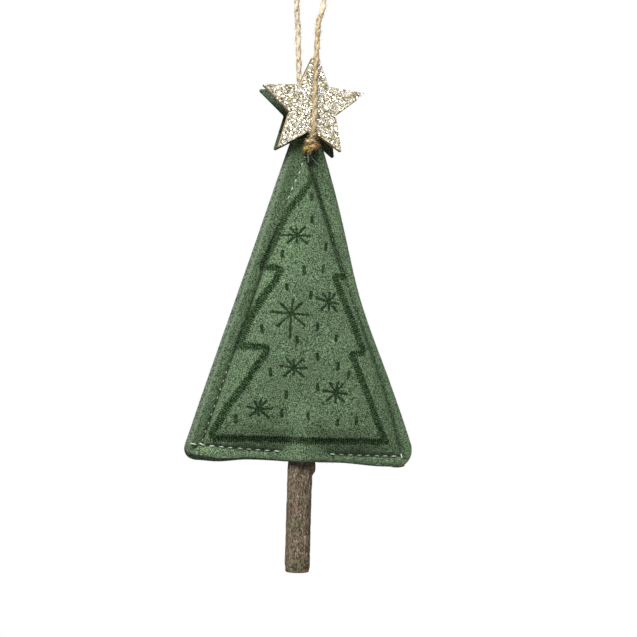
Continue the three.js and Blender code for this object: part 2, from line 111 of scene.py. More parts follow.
# %% [markdown]
# ## Small tools for node trees
#
# A node tree can be clicked together or written. Written, each node is one line, as long as a
# helper makes the node, fills in its inputs and draws the links in one go. Sums are clearest as
# formulas, so the output of a node is wrapped in a value that adds a Math node for each operator.

# %% Values that can stand in a formula


def operator(operation, swapped=False):
    def method(self, other):
        values = (other, self) if swapped else (self, other)
        return self.nodes.calc(operation, *values)

    return method


class Value:
    """An output of a node. Each operator on it adds a Math node to its tree."""

    def __init__(self, nodes, socket):
        self.nodes, self.socket = nodes, socket

    def __abs__(self):
        return self.nodes.calc("ABSOLUTE", self)

    __add__ = __radd__ = operator("ADD")
    __mul__ = __rmul__ = operator("MULTIPLY")
    __sub__, __rsub__ = operator("SUBTRACT"), operator("SUBTRACT", swapped=True)
    __truediv__, __rtruediv__ = operator("DIVIDE"), operator("DIVIDE", swapped=True)


class Node:
    """A node, whose outputs are picked by name or number."""

    def __init__(self, nodes, node):
        self.nodes, self.node = nodes, node

    def __getitem__(self, output):
        return Value(self.nodes, self.node.outputs[output])


# %% Helpers for nodes


class Nodes:
    """A node tree to add nodes to."""

    def __init__(self, tree):
        self.tree = tree

    def feed(self, socket, value):
        """Links the socket to another node's output, or gives it a plain value."""
        if isinstance(value, Value):
            self.tree.links.new(value.socket, socket)
        else:
            socket.default_value = value

    def add(self, kind, inputs=None, **settings):
        node = self.tree.nodes.new(kind)
        for name, value in settings.items():
            setattr(node, name, value)
        for name, value in (inputs or {}).items():
            self.feed(node.inputs[name], value)
        return Node(self, node)

    def calc(self, operation, *values):
        return self.add("ShaderNodeMath", dict(enumerate(values)), operation=operation)[0]

    def vector(self, operation, *values):
        return self.add("ShaderNodeVectorMath", dict(enumerate(values)), operation=operation)[0]

    def scale(self, vector, factor):
        """A vector or a colour times a number."""
        vector = vector[:3] if isinstance(vector, tuple) else vector
        return self.add("ShaderNodeVectorMath", {0: vector, "Scale": factor}, operation="SCALE")[0]

    def mix(self, share, first, second, blend="MIX"):
        inputs = {0: share, 6: first, 7: second}
        return self.add("ShaderNodeMix", inputs, data_type="RGBA", blend_type=blend)[2]

    def step(self, value, low, high):
        """0 below low, 1 above high, smooth between them."""
        inputs = {"Value": value, "From Min": low, "From Max": high}
        return self.add("ShaderNodeMapRange", inputs, interpolation_type="SMOOTHSTEP")[0]

    def noise(self, place, scale, detail=2.0, **more):
        inputs = {"Vector": place, "Scale": scale, "Detail": detail, **more}
        return self.add("ShaderNodeTexNoise", inputs)[0]

    def mapped(self, place, **inputs):
        return self.add("ShaderNodeMapping", {"Vector": place, **inputs})[0]

    def attribute(self, name, output="Fac"):
        return self.add("ShaderNodeAttribute", attribute_name=name)[output]

    def group(self, group, **inputs):
        inputs = {socket.replace("_", " "): value for socket, value in inputs.items()}
        node = self.add("ShaderNodeGroup", node_tree=group)
        for socket, value in inputs.items():
            self.feed(node.node.inputs[socket], value)
        return node


def rgba(red, green, blue):
    return (red, green, blue, 1.0)


# %% Helpers for node groups and materials
GEOMETRY, MATERIAL = "NodeSocketGeometry", "NodeSocketMaterial"
FLOAT, INTEGER, VECTOR = "NodeSocketFloat", "NodeSocketInt", "NodeSocketVector"
KINDS = {float: FLOAT, int: INTEGER, tuple: VECTOR}


class Group(Nodes):
    """A node group. Each input is given its default, or its kind if it has none."""

    def __init__(self, name, tree_kind, inputs, outputs):
        super().__init__(bpy.data.node_groups.new(name, tree_kind))
        new_socket = self.tree.interface.new_socket
        for socket, value in inputs.items():
            kind = KINDS.get(type(value), value)
            item = new_socket(socket.replace("_", " "), in_out="INPUT", socket_type=kind)
            if kind != value:
                item.default_value = value
        for socket, kind in outputs.items():
            new_socket(socket, in_out="OUTPUT", socket_type=kind)
        self.start = self.add("NodeGroupInput")
        self.end = self.add("NodeGroupOutput").node

    def finish(self, **results):
        for socket, value in results.items():
            self.feed(self.end.inputs[socket], value)
        print("group:", self.tree.name, len(self.tree.nodes), "nodes")
        return self.tree


class Material(Nodes):
    """A material with one Principled shader, whose plain numbers are set here."""

    def __init__(self, name, **constants):
        self.material = bpy.data.materials.new(name)
        self.material.use_nodes = True
        super().__init__(self.material.node_tree)
        self.shader = self.tree.nodes["Principled BSDF"].inputs
        for socket, value in constants.items():
            self.shader[socket.replace("_", " ")].default_value = value

    @cached_property
    def place(self):
        return self.add("ShaderNodeTexCoord")["Object"]

    def finish(self, colour, height=None, depth=0.0, strength=1.0):
        """Sets the colour, and presses a height of so many metres into the surface."""
        self.feed(self.shader["Base Color"], colour)
        if height:
            inputs = {"Height": height, "Distance": depth, "Strength": strength}
            self.feed(self.shader["Normal"], self.add("ShaderNodeBump", inputs)[0])
        print("material:", self.material.name, len(self.tree.nodes), "nodes")
        return self.material


# %% [markdown]
# ## Surface effects that several materials share
#
# Felt is a mat of short fibres that lie every way. Three noise patterns, each stretched along
# its own direction and cut down to thin lines, look like such fibres at a tenth of a millimetre.
# Wadding is the same mat with a longer, looser fibre, so the effect is one node group with a
# size input. A second group is a slow drift of tone, which every dyed or grown material has.

# %% Node groups: fibre mat and slow drift of tone
NO_PLACE = (0.0, 0.0, 0.0)


def make_fibre_mat():
    inputs = {"Vector": NO_PLACE, "Fibre Size": 0.0003, "Sharpness": 9.0}
    outputs = {"Fibres": FLOAT, "Mottle": FLOAT, "Height": FLOAT}
    g = Group("fibre_mat", "ShaderNodeTree", inputs, outputs)
    scaled = g.scale(g.start["Vector"], 1.0 / g.start["Fibre Size"])
    fibres = 0.0
    for angle, shift in ((0.4, 0.0), (1.5, 31.0), (2.5, 67.0)):
        inputs = {
            "Vector": scaled, "Location": (shift, 0, 0), "Rotation": (0, angle, 0), "Scale": (6, 2, 1.2)
        }
        stretched = g.add("ShaderNodeMapping", inputs, vector_type="TEXTURE")[0]
        off = abs(g.noise(stretched, 1.0, 1.0, Distortion=0.5) - 0.5)
        fibres = g.calc("MAXIMUM", fibres, 1.0 - off * g.start["Sharpness"])
    mottle = g.noise(scaled, 0.45, 3.0, Roughness=0.6)
    return g.finish(Fibres=fibres, Mottle=mottle, Height=fibres * 0.5 + mottle)


def make_tone_drift():
    inputs = {"Vector": NO_PLACE, "Patch Size": 0.01, "Amount": 0.1}
    g = Group("tone_drift", "ShaderNodeTree", inputs, {"Tone": FLOAT})
    drift = g.noise(g.start["Vector"], 1.0 / g.start["Patch Size"])
    return g.finish(Tone=1.0 + (drift - 0.5) * 4.0 * g.start["Amount"])


fibre_mat, tone_drift = make_fibre_mat(), make_tone_drift()


def fibres_of(m, fibre_size, sharpness):
    return m.group(fibre_mat, Vector=m.place, Fibre_Size=fibre_size, Sharpness=sharpness)


def drift_of(m, patch_size, amount):
    return m.group(tone_drift, Vector=m.place, Patch_Size=patch_size, Amount=amount)["Tone"]


# %% [markdown]
# ## Felt
#
# The felt is a bottle green wool mix: a mid green with paler and darker fibres. Where it was
# cut, the ends of the fibres show and the green turns greyish. The fir outline, the snowflakes
# and the dashes are scorched into it, so they are dark, slightly sunken and ragged at the edge.
# The mesh carries how far each point lies from those lines, and the material turns that distance
# into a mask, with a little noise for the ragged edge. That keeps the drawing sharp between the
# points of the mesh.

# %% Materials: felt of the tree, and the star's felt behind it, painted darker as shade
FELT_GREEN = rgba(0.102, 0.186, 0.077)
FELT_PALE = rgba(0.27, 0.39, 0.225)
FELT_DEEP = rgba(0.03, 0.062, 0.023)
# colour of the painted highlight on the flange's ridge
RIDGE_HIGHLIGHT_PALE = rgba(0.36, 0.46, 0.31)
CUT_GREY = rgba(0.2, 0.265, 0.18)
# the scorched print's colour, used also as the colour of the painted shade
SCORCHED_AND_SHADE = rgba(0.007, 0.025, 0.004)
SCORCHED_LIGHT = rgba(0.11, 0.185, 0.085)
FLECK_SCALE = 3000.0
RAGGED_SCALE = 2500.0


def felt_colour(m, base, pale, deep):
    """The colour of plain felt and the height of its fibres."""
    mat = fibres_of(m, 0.0004, 10.0)
    fine = fibres_of(m, 0.00022, 7.0)["Fibres"]
    colour = m.mix(m.step(mat["Mottle"], 0.58, 0.3), base, deep)
    colour = m.mix(m.step(mat["Fibres"], 0.35, 1.0) * 0.5, colour, pale)
    colour = m.mix(m.step(fine, 0.45, 0.95) * 0.5, colour, pale)
    flecks = m.noise(m.place, FLECK_SCALE, 1.0, Roughness=0.6)
    lit = m.step(flecks, 0.41, 0.61)
    colour = m.scale(colour, (lit * 1.45 + 0.24) * drift_of(m, 0.012, 0.1))
    dust = sum(base[:3]) * 0.06
    return m.mix(lit, colour, rgba(dust, dust, dust), "ADD"), mat["Height"] + fine + flecks


def make_tree_felt():
    m = Material("green_felt", Roughness=0.95, Sheen_Weight=0.06, Sheen_Roughness=0.5,
                 Sheen_Tint=rgba(0.75, 0.85, 0.7), Specular_IOR_Level=0.05)
    colour, height = felt_colour(m, FELT_GREEN, FELT_PALE, FELT_DEEP)
    # painted highlight along the flange's ridge beside the cut edge
    colour = m.mix(m.attribute("worn") * 0.42, colour, RIDGE_HIGHLIGHT_PALE)
    # painted shade: the felt is coloured darker in the seam crease, beside the right seam and under the
    # star
    colour = m.mix(m.attribute("crease") * 0.85, colour, SCORCHED_AND_SHADE)

    ragged = m.noise(m.place, RAGGED_SCALE, 1.0)
    wobble = (ragged - 0.5) * 1.1
    teeth = m.calc("SINE", m.attribute("run") * 8.2 + wobble * 5.0)
    lit = m.step(ragged + teeth * 0.06, 0.535, 0.595)
    band_mask = m.step(m.attribute("band") + teeth * 0.3 + wobble, 1.27, 1.13)
    colour = m.mix(band_mask, colour, m.mix(lit, SCORCHED_AND_SHADE, SCORCHED_LIGHT))
    stroke_mask = m.step(m.attribute("stroke") + wobble * 0.7, 0.1, -0.04)
    colour = m.mix(stroke_mask * 0.95, colour, m.mix(lit * 0.5, SCORCHED_AND_SHADE, SCORCHED_LIGHT))
    grey = m.scale(CUT_GREY, m.step(ragged, 0.3, 0.7) * 1.9)
    return m.finish(m.mix(m.attribute("cut"), colour, grey), height, 0.00026, 0.9)


def make_star_felt():
    m = Material("shaded_felt", Roughness=0.95, Sheen_Weight=0.08, Sheen_Roughness=0.5,
                 Specular_IOR_Level=0.15)
    # the same green felt as the tree, painted darker as the shade behind the board
    colour, height = felt_colour(
        m, rgba(0.05, 0.088, 0.046), rgba(0.13, 0.2, 0.12), rgba(0.017, 0.034, 0.016)
    )
    colour = m.mix(m.attribute("cut") * 0.7, colour, rgba(0.12, 0.2, 0.13))
    return m.finish(colour, height, 0.00022, 0.8)


tree_felt, star_felt = make_tree_felt(), make_star_felt()

# %% [markdown]
# ## The felt tree's shape
#
# The outline is a tall triangle with rounded corners. A second triangle inside it is the seam.
# Inside the seam the stuffing lifts the felt into a crown; outside it the two layers of felt lie
# flat on each other and form a flange, which curls to the front on the left and at the bottom
# left corner, and leans back on the right. These rules are the part's own, written once more
# here, so the finer skin of the felt sits where the solid is.

# %% Named sizes of the felt tree
TREE_WIDTH = 84.6
TREE_HEIGHT = 130.0
HOLE_BELOW_POINT = 19.4
EDGE_RADII = (3.4, 5.0, 5.9)  # top, left, right
SEAM_RADII = (1.1, 1.2, 1.2)
RIGHT_EDGE_BOW = 2.4
FELT = 1.5
LAYER_GAP = 0.3
LEFT_FLANGE = 5.9
FLANGES = [(6.2, LEFT_FLANGE), (6.1, 2.7), (5.2, 7.3)]  # start and end of the left, bottom, right
SEAM_BELLY = 0.8
BOTTOM_BELLY = 0.6
SEAM_SINKS = (0.5, 0.35, 0.85)  # left, bottom, right
SEAM_WIDTH = 0.6
SEAM_LAND = 0.6
CROWN = {-1: 5.0, 1: 4.8}  # front, back
CROWN_SHOULDER = 13.0
TRUNK_RADIUS = 4.3
MOUTH_LEFT = 8.6
MOUTH_RIGHT = 11.2
MOUTH_HEIGHT = TRUNK_RADIUS + 0.6
MOUTH_TOP = (9.0, 23.0)  # where the mouth's rise over the bottom seam fades out
STITCH = 3.1

# turn round the tree from its top by way of the left side, and curl of the flange there
CURL_STOPS = np.array([
    (0, 0), (0.07, -1.5), (0.265, -1.5), (0.337, -2.6), (0.42, -1.5), (0.5, -0.3),
    (0.6, -1.2), (0.663, 1.2), (0.74, 3.2), (0.9, 3.2), (1, 0),
])
# share of the way along the bottom edge, and how far the edge bows out there
BOTTOM_EDGE_STOPS = np.array(
    [(0, 0), (0.1, 0.6), (0.26, -0.25), (0.5, 0.2), (0.7, 0.4), (0.93, 1.5), (1, 1.5)]
)

BOTTOM_EDGE = HOLE_BELOW_POINT - TREE_HEIGHT
EDGE_CORNERS = np.array([
    (-0.018 * TREE_WIDTH, HOLE_BELOW_POINT),
    (-0.511 * TREE_WIDTH, BOTTOM_EDGE),
    (0.504 * TREE_WIDTH, BOTTOM_EDGE),
])
print("bottom edge of the felt:", BOTTOM_EDGE, "mm from the hole")

# %% Seam triangle and distances from it


def smooth_share(value, low, high):
    share = np.clip((value - low) / (high - low), 0, 1)
    return share * share * (3 - 2 * share)


def bell(value):
    return np.exp(-(value**2))


def unit(vectors):
    return vectors / np.linalg.norm(vectors, axis=-1, keepdims=True)


def side_of(corners, k):
    """Start, direction, inward direction and length of a triangle's side."""
    along = corners[(k + 1) % 3] - corners[k]
    length = np.linalg.norm(along)
    along = along / length
    return corners[k], along, np.array([-along[1], along[0]]), length


def cross(a, b):
    return a[0] * b[1] - a[1] * b[0]


def inset_corners(corners, widths):
    """The triangle with its sides moved in, each by a width at its start and one at its end."""
    lines = []
    for k, (first, last) in enumerate(widths):
        start, _, inward, _ = side_of(corners, k)
        begin = start + inward * first
        lines.append((begin, corners[(k + 1) % 3] + inward * last - begin))
    moved = []
    for before, line in zip([lines[-1]] + lines, lines):
        reach = cross(line[0] - before[0], line[1]) / cross(before[1], line[1])
        moved.append(before[0] + before[1] * reach)
    return np.array(moved)


def between_stops(share, stops):
    """A value that passes smoothly from stop to stop."""
    after = np.clip(np.searchsorted(stops[:, 0], share, side="right"), 1, len(stops) - 1)
    low, high = stops[after - 1], stops[after]
    blend = smooth_share(share, low[..., 0], high[..., 0])
    return low[..., 1] + (high[..., 1] - low[..., 1]) * blend


def left_belly(share):
    near_top = np.maximum(share, 0) / 0.03
    return -0.8 * near_top * np.exp(1 - near_top)


def bottom_belly(share):
    return BOTTOM_BELLY * np.sin(np.pi * np.clip(share, 0, 1))


def right_belly(share):
    run = np.clip(share / 0.55, 0, 1) ** 0.7
    return SEAM_BELLY * np.sin(np.pi * run) ** 2


SEAM_BELLIES = (left_belly, bottom_belly, right_belly)
EDGE_BOWS = (
    lambda share: 0 * share,
    lambda share: between_stops(share, BOTTOM_EDGE_STOPS),
    lambda share: -RIGHT_EDGE_BOW * bell((share - 0.44) / 0.22),
)
SEAM_CORNERS = inset_corners(EDGE_CORNERS, FLANGES)
SEAM_SIDES = [side_of(SEAM_CORNERS, k) for k in range(3)]
EDGE_SIDES = [side_of(EDGE_CORNERS, k) for k in range(3)]
SEAM_LENGTHS = [side[3] for side in SEAM_SIDES]
SEAM_CENTRE = SEAM_CORNERS.T @ np.roll(SEAM_LENGTHS, -1) / sum(SEAM_LENGTHS)


def inside_seam(p):
    """Distances of points from the left, bottom and right seam, positive inside."""
    return [
        (p - start) @ inward + belly((p - start) @ along / length)
        for (start, along, inward, length), belly in zip(SEAM_SIDES, SEAM_BELLIES)
    ]


def from_seam(p):
    """Distance from the nearest seam, and which of the three it is."""
    distances = inside_seam(p)
    return np.min(distances, axis=0), np.argmin(distances, axis=0)


def inside_edge(p):
    """Distance of points from the cut edge."""
    return np.min([
        (p - start) @ inward + bow(np.clip((p - start) @ along / length, 0, 1))
        for (start, along, inward, length), bow in zip(EDGE_SIDES, EDGE_BOWS)
    ], axis=0)


print("seam corners:", np.round(SEAM_CORNERS, 1).tolist())

# %% Heights of the felt over the seam plane


def rise(distance):
    share = np.clip((distance - SEAM_LAND) / CROWN_SHOULDER, 0, 1)
    return np.sqrt(1 - (1 - share) ** 2)


def gentle_rise(distance):
    """Above the bottom seam the stuffing has settled, so the felt rises without a shoulder."""
    share = np.clip(distance / (CROWN_SHOULDER + 1), 0, 1)
    return np.sin(np.pi / 2 * share) ** 0.85


def mouth_half(p):
    return np.where(p[..., 0] < 0, MOUTH_LEFT, MOUTH_RIGHT)


def mouth_share(p):
    """1 in the middle of the open mouth, 0 beside it and above it."""
    across = np.minimum(np.abs(p[..., 0]) / mouth_half(p), 1)
    return (1 + np.cos(np.pi * across)) / 2 * (1 - smooth_share(inside_seam(p)[1], *MOUTH_TOP))


def stuffed_height(p, crown):
    left, bottom, right_side = inside_seam(p)
    pillow = crown * rise(left) * gentle_rise(bottom) * rise(right_side)
    return (pillow**4 + (MOUTH_HEIGHT * mouth_share(p)) ** 4) ** 0.25


def curl(p):
    outside = np.maximum(0, -from_seam(p)[0]) / LEFT_FLANGE
    off = p - SEAM_CENTRE
    share = (np.arctan2(-off[..., 0], off[..., 1]) / (2 * np.pi)) % 1
    return between_stops(share, CURL_STOPS) * outside**2


def inner_y(p, side):
    """The face of a panel towards the stuffing: side is -1 for the front panel, 1 for the back."""
    return curl(p) + side * (LAYER_GAP / 2 + stuffed_height(p, CROWN[side]))


print("front crown:", round(float(-inner_y(SEAM_CENTRE, -1) + FELT), 2), "mm over the seam plane")

# %% [markdown]
# ## Twine
#
# The twine is jute in two plies. It goes up in front of the star, over whatever the ornament
# hangs on, and down behind the star. A plain tube would look like wire, so each ply is a tube of
# its own that winds round the twine's centreline, thick and thin as hand-spun jute is. Geometry
# Nodes fit this well: the rule is to walk along a curve, turn by an angle and step aside. The
# same tree serves for the free loop and, with a tighter ply, for the knot.

# %% Material: jute


def make_jute():
    m = Material("jute", Roughness=0.9, Sheen_Weight=0.2, Sheen_Roughness=0.4,
                 Sheen_Tint=rgba(1.0, 0.9, 0.7), Specular_IOR_Level=0.25)
    hair = m.noise(m.attribute("strand", "Vector"), 3.2, 3.0, Distortion=0.3)
    spots = m.step(m.noise(m.place, 520.0), 0.54, 0.66)
    colour = m.mix(m.step(hair, 0.36, 0.64), rgba(0.54, 0.4, 0.24), rgba(0.98, 0.9, 0.74))
    colour = m.mix(spots * 0.65, colour, rgba(0.22, 0.12, 0.06))
    # multiplied by the point colour that holds the knot's tints and the painted shade on the twine
    colour = m.mix(1.0, colour, m.attribute("stain_and_shade", "Color"), "MULTIPLY")
    return m.finish(m.scale(colour, drift_of(m, 0.006, 0.12)), hair, 0.0001, 0.9)


jute = make_jute()

# %% Helpers for geometry trees


class Geometry(Group):
    """A geometry tree that makes a piece out of a piece."""

    def __init__(self, name, **inputs):
        inputs = {"Geometry": GEOMETRY, **inputs, "Material": MATERIAL}
        super().__init__(name, "GeometryNodeTree", inputs, {"Geometry": GEOMETRY})

    def geo(self, kind, inputs, **settings):
        return self.add("GeometryNode" + kind, inputs, **settings)[0]

    def dress(self, geometry):
        """Every tree ends in real geometry with its material on it."""
        real = self.geo("RealizeInstances", {0: geometry})
        inputs = {"Geometry": real, "Material": self.start["Material"]}
        return self.finish(Geometry=self.geo("SetMaterial", inputs))

    def store(self, geometry, name, value, data_type="FLOAT", **settings):
        inputs = {"Geometry": geometry, "Name": name, "Value": value}
        return self.geo("StoreNamedAttribute", inputs, data_type=data_type, **settings)

    def path(self, output):
        """Where a point lies on its curve."""
        return self.add("GeometryNodeSplineParameter")[output]

    def ring(self, sides, radius):
        return self.geo("CurvePrimitiveCircle", {"Resolution": sides, "Radius": radius})

    def arch(self, steps, start, middle, end):
        inputs = {"Resolution": steps, "Start": start, "Middle": middle, "End": end}
        return self.geo("CurveQuadraticBezier", inputs)

    def tube(self, curve, ring, **inputs):
        inputs = {"Curve": curve, "Profile Curve": ring, "Fill Caps": True, **inputs}
        return self.geo("CurveToMesh", inputs)

    def tapered_tube(self, curve, radius, ring):
        curve = self.geo("SetCurveRadius", {"Curve": curve, "Radius": radius})
        return self.tube(curve, ring, Scale=self.geo("InputRadius", {}))

    def xyz(self, x, y, z):
        return self.add("ShaderNodeCombineXYZ", {0: x, 1: y, 2: z})[0]

    def random(self, low, high, seed):
        """A different random value for each point, between two values."""
        vectors = isinstance(low, tuple)
        slots, kind = ((0, 1), "FLOAT_VECTOR") if vectors else ((2, 3), "FLOAT")
        node = self.add("FunctionNodeRandomValue", data_type=kind)
        for slot, value in zip((*slots, "Seed"), (low, high, seed)):
            self.feed(node.node.inputs[slot], value)
        return node[0 if vectors else 1]

    def scatter(self):
        start = self.start
        inputs = {"Mesh": start["Geometry"], "Density": start["Per Area"], "Seed": start["Seed"]}
        return self.add("GeometryNodeDistributePointsOnFaces", inputs)

    def place(self, points, instance, rotation, turn, scale):
        """Instances on points, each turned a little further than its point is."""
        turn = self.add("FunctionNodeEulerToRotation", {0: turn})[0]
        inputs = {0: rotation, 1: turn}
        turned = self.add("FunctionNodeRotateRotation", inputs, rotation_space="LOCAL")[0]
        inputs = {"Points": points, "Instance": instance, "Rotation": turned, "Scale": scale}
        return self.geo("InstanceOnPoints", inputs)


# %% Geometry Nodes: plies wound round a path
PLY_SIDES = 9
FULL_TURN = 2 * math.pi


def make_ply_winder():
    g = Geometry("ply_winder", Ply_Radius=0.00055, Ply_Offset=0.00045, Turn_Length=0.0065, Unevenness=0.1)
    path = g.geo("MeshToCurve", {0: g.start["Geometry"]})
    path = g.geo("ResampleCurve", {"Curve": path, "Length": 0.0003}, mode="LENGTH")
    normal, length = g.geo("InputNormal", {}), g.path("Length")
    sideways = g.vector("CROSS_PRODUCT", g.geo("InputTangent", {}), normal)
    inputs = {"W": length, "Scale": 330.0, "Detail": 1.0}
    swell = g.add("ShaderNodeTexNoise", inputs, noise_dimensions="1D")[0] - 0.5
    plies = g.add("GeometryNodeJoinGeometry")
    for phase, swelling in ((0.0, -4.0), (math.pi, 4.0)):
        angle = length / g.start["Turn Length"] * FULL_TURN + phase
        aside = [
            g.scale(direction, g.calc(wave, angle) * g.start["Ply Offset"])
            for direction, wave in ((normal, "COSINE"), (sideways, "SINE"))
        ]
        ply = g.geo("SetPosition", {"Geometry": path, "Offset": g.vector("ADD", *aside)})
        radius = swell * g.start["Unevenness"] * swelling + 1.0
        ply = g.geo("SetCurveRadius", {"Curve": ply, "Radius": radius})
        g.feed(plies.node.inputs[0], g.store(ply, "along", length))
    ring = g.store(g.ring(PLY_SIDES, g.start["Ply Radius"]), "around", g.path("Index"))
    tube = g.tube(plies[0], ring, Scale=g.geo("InputRadius", {}))
    around, along = (
        g.geo("InputNamedAttribute", {"Name": name}, data_type="FLOAT") for name in ("around", "along")
    )
    lean = around * (FULL_TURN / PLY_SIDES) + along * 900.0
    strand = g.xyz(g.calc("COSINE", lean), g.calc("SINE", lean), along * 260.0)
    return g.dress(g.store(tube, "strand", strand, "FLOAT_VECTOR"))


ply_winder = make_ply_winder()

# %% Helpers: run a geometry tree and keep its result as a plain mesh


def new_piece(name, mesh):
    piece = bpy.data.objects.new(name, mesh)
    bpy.context.collection.objects.link(piece)
    return piece


def plain_piece(name, points, edges=(), faces=()):
    mesh = bpy.data.meshes.new(name)
    mesh.from_pydata(to_metres(points).tolist(), edges, faces)
    return new_piece(name, mesh)


def path_piece(name, points):
    """A bare line of points, for a geometry tree to walk along."""
    return plain_piece(name, points, [(k, k + 1) for k in range(len(points) - 1)])


def bake(piece, modifier):
    """Evaluates the piece once with its modifier, and leaves a plain mesh."""
    bpy.context.view_layer.update()
    evaluated = piece.evaluated_get(bpy.context.evaluated_depsgraph_get())
    mesh = bpy.data.meshes.new_from_object(evaluated)
    piece.modifiers.remove(modifier)
    piece.data = mesh
    mesh.name = piece.name
    print(piece.name, len(mesh.vertices), "points,", len(mesh.polygons), "faces")
    return piece


def run_tree(piece, tree, material, **values):
    modifier = piece.modifiers.new(tree.name, "NODES")
    modifier.node_group = tree
    values["Material"] = material
    for item in tree.interface.items_tree:
        name = item.name.replace(" ", "_")
        if item.item_type == "SOCKET" and item.in_out == "INPUT" and name in values:
            modifier[item.identifier] = values[name]
    return bake(piece, modifier)


def through_points(route, steps):
    """A smooth centripetal curve through given points, in short steps."""
    route = np.asarray(route, float)
    ends = np.vstack([2 * route[0] - route[1], route, 2 * route[-1] - route[-2]])
    line = []
    for k in range(1, len(ends) - 2):
        p = ends[k - 1 : k + 3]
        t = np.concatenate([[0], np.cumsum(np.sqrt(np.linalg.norm(np.diff(p, axis=0), axis=1)))])
        for s in np.linspace(t[1], t[2], steps, endpoint=False):
            a = [((t[i + 1] - s) * p[i] + (s - t[i]) * p[i + 1]) / (t[i + 1] - t[i]) for i in range(3)]
            b = [((t[i + 2] - s) * a[i] + (s - t[i]) * a[i + 1]) / (t[i + 2] - t[i]) for i in range(2)]
            line.append(((t[2] - s) * b[0] + (s - t[1]) * b[1]) / (t[2] - t[1]))
    return np.vstack([line, route[-1]])


# %% The free loop of twine
LOOP_ROUTE = [
    (0.2, -6.3, 3.2), (0.3, -6.75, 6.2), (0.4, -6.85, 12), (0.4, -6.85, 20), (0.4, -6.8, 28),
    (0.55, -6.4, 35), (0.95, -5.6, 41), (1.3, -5.15, 43.6), (2.15, -4.65, 46.2), (2.6, -4.1, 48.5),
    (3.2, -3.2, 52), (4.3, -1.3, 57), (3.3, -0.3, 61.7), (0, 0, 63), (-3.3, 0.3, 61.7),
    (-5.2, 1.3, 57), (-5.4, 2.6, 50), (-4.7, 3.9, 42), (-4.2, 4.7, 35), (-3.6, 5.1, 27),
    (-2.5, 5.15, 19), (-1.3, 5.15, 11.5), (-0.4, 5.15, 6), (0, 5.15, 3.6),
]
WANDER = 0.16


def stain_and_shade(piece, colour_at):
    """A colour that the jute is multiplied with, point by point: its tints and its painted shade."""
    mesh = piece.data
    place = np.empty(len(mesh.vertices) * 3)
    mesh.vertices.foreach_get("co", place)
    colours = colour_at(*((place.reshape(-1, 3) - HOLE) / MM).T)
    layer = mesh.color_attributes.new("stain_and_shade", "FLOAT_COLOR", "POINT")
    layer.data.foreach_set("color", np.stack([*colours, np.ones(len(mesh.vertices))], 1).ravel())


def wandering(line):
    """The same line with the small wiggles of soft twine."""
    shifts = [noise.noise_vector((x[2] / 7, x[0] / 7, 3.0)) for x in line]
    ends = np.sin(np.pi * np.linspace(0, 1, len(line))) ** 0.5
    return line + np.array(shifts) * (WANDER * ends)[:, None]


def in_star_shade(x, y, z):
    """Painted shade: the twine is coloured darker and browner where it lies on the star and near the
    knot.
    """
    over_star, near_knot = smooth_share(-y, 4.5, 6.0), smooth_share(-z, -9.0, -3.0)
    losses = ((0.28, 0.16), (0.32, 0.2), (0.44, 0.26))  # red, green and blue: over the star, by the knot
    return [1 - star * over_star - knot * near_knot for star, knot in losses]


loop_line = through_points(LOOP_ROUTE, 8)
twine_loop = run_tree(path_piece("twine", wandering(loop_line)), ply_winder, jute,
                      Ply_Radius=0.00073, Ply_Offset=0.00026, Turn_Length=0.0092, Unevenness=0.1)
stain_and_shade(twine_loop, in_star_shade)

# %% [markdown]
# ## The knot
#
# In front of the hole the twine is tied into a small hard knot. It is one more path for the ply
# winder, with listed points: out of the hole, round to the left, over the front to the right, back
# behind, and up into the free strand. A trimmed end sticks out below. The hard pull makes the plies
# thinner here. The jute is tinted a little darker, olive on the left and red-brown on the right,
# and painted darker towards the felt as shade.

# %% The knot and the end through the hole
KNOT_ROUTE = [
    (0, 5.15, 3.7), (0, 5.05, 1.9), (0, 4.3, 0.5), (0, 2.9, 0), (0, 0.5, 0), (0, -2.2, 0),
    (-0.8, -3.3, -0.5), (-1.8, -4.3, -1.0), (-1.7, -5.4, -1.0), (-0.5, -6.0, -0.7),
    (0.6, -6.0, -0.3), (1.25, -5.2, 0.1), (1.2, -4.1, 0.6), (0.5, -3.4, 0.9), (-0.8, -3.7, 1.0),
    (-1.3, -4.7, 1.0), (-0.8, -5.7, 1.4), (0.0, -6.2, 2.3), (0.2, -6.45, 4.2),
]
TAIL_ROUTE = [(0.6, -4.3, 0.4), (0.1, -4.8, -1.0), (-0.6, -5.3, -2.0), (-1.1, -5.4, -2.7)]
# red, green and blue of the jute, and how much of each the left and the right lobe lose
KNOT_TONES = [(0.88, 0.26, 0.3), (0.82, 0.3, 0.49), (0.64, 0.42, 0.46)]


def knot_stain_and_shade(x, y, z):
    """Olive on the left lobe, red-brown on the right one, and painted shade that darkens it towards the
    felt.
    """
    low = smooth_share(-z, -1.6, 0.4)
    right_lobe, left_lobe = smooth_share(x, -0.4, 1.0) * low, smooth_share(-x, -0.2, 1.2) * low
    # painted shade: darker where the knot lies against the felt
    deep = 0.5 + 0.5 * smooth_share(-y, 3.6, 5.9)
    return [(plain - left * left_lobe - right * right_lobe) * deep for plain, left, right in KNOT_TONES]


def wind_knot(name, route):
    piece = run_tree(path_piece(name, through_points(route, 10)), ply_winder, jute,
                     Ply_Radius=0.00054, Ply_Offset=0.0004, Turn_Length=0.0045, Unevenness=0.2)
    stain_and_shade(piece, knot_stain_and_shade)
    return piece


knot, knot_tail = wind_knot("knot", KNOT_ROUTE), wind_knot("knot_tail", TAIL_ROUTE)

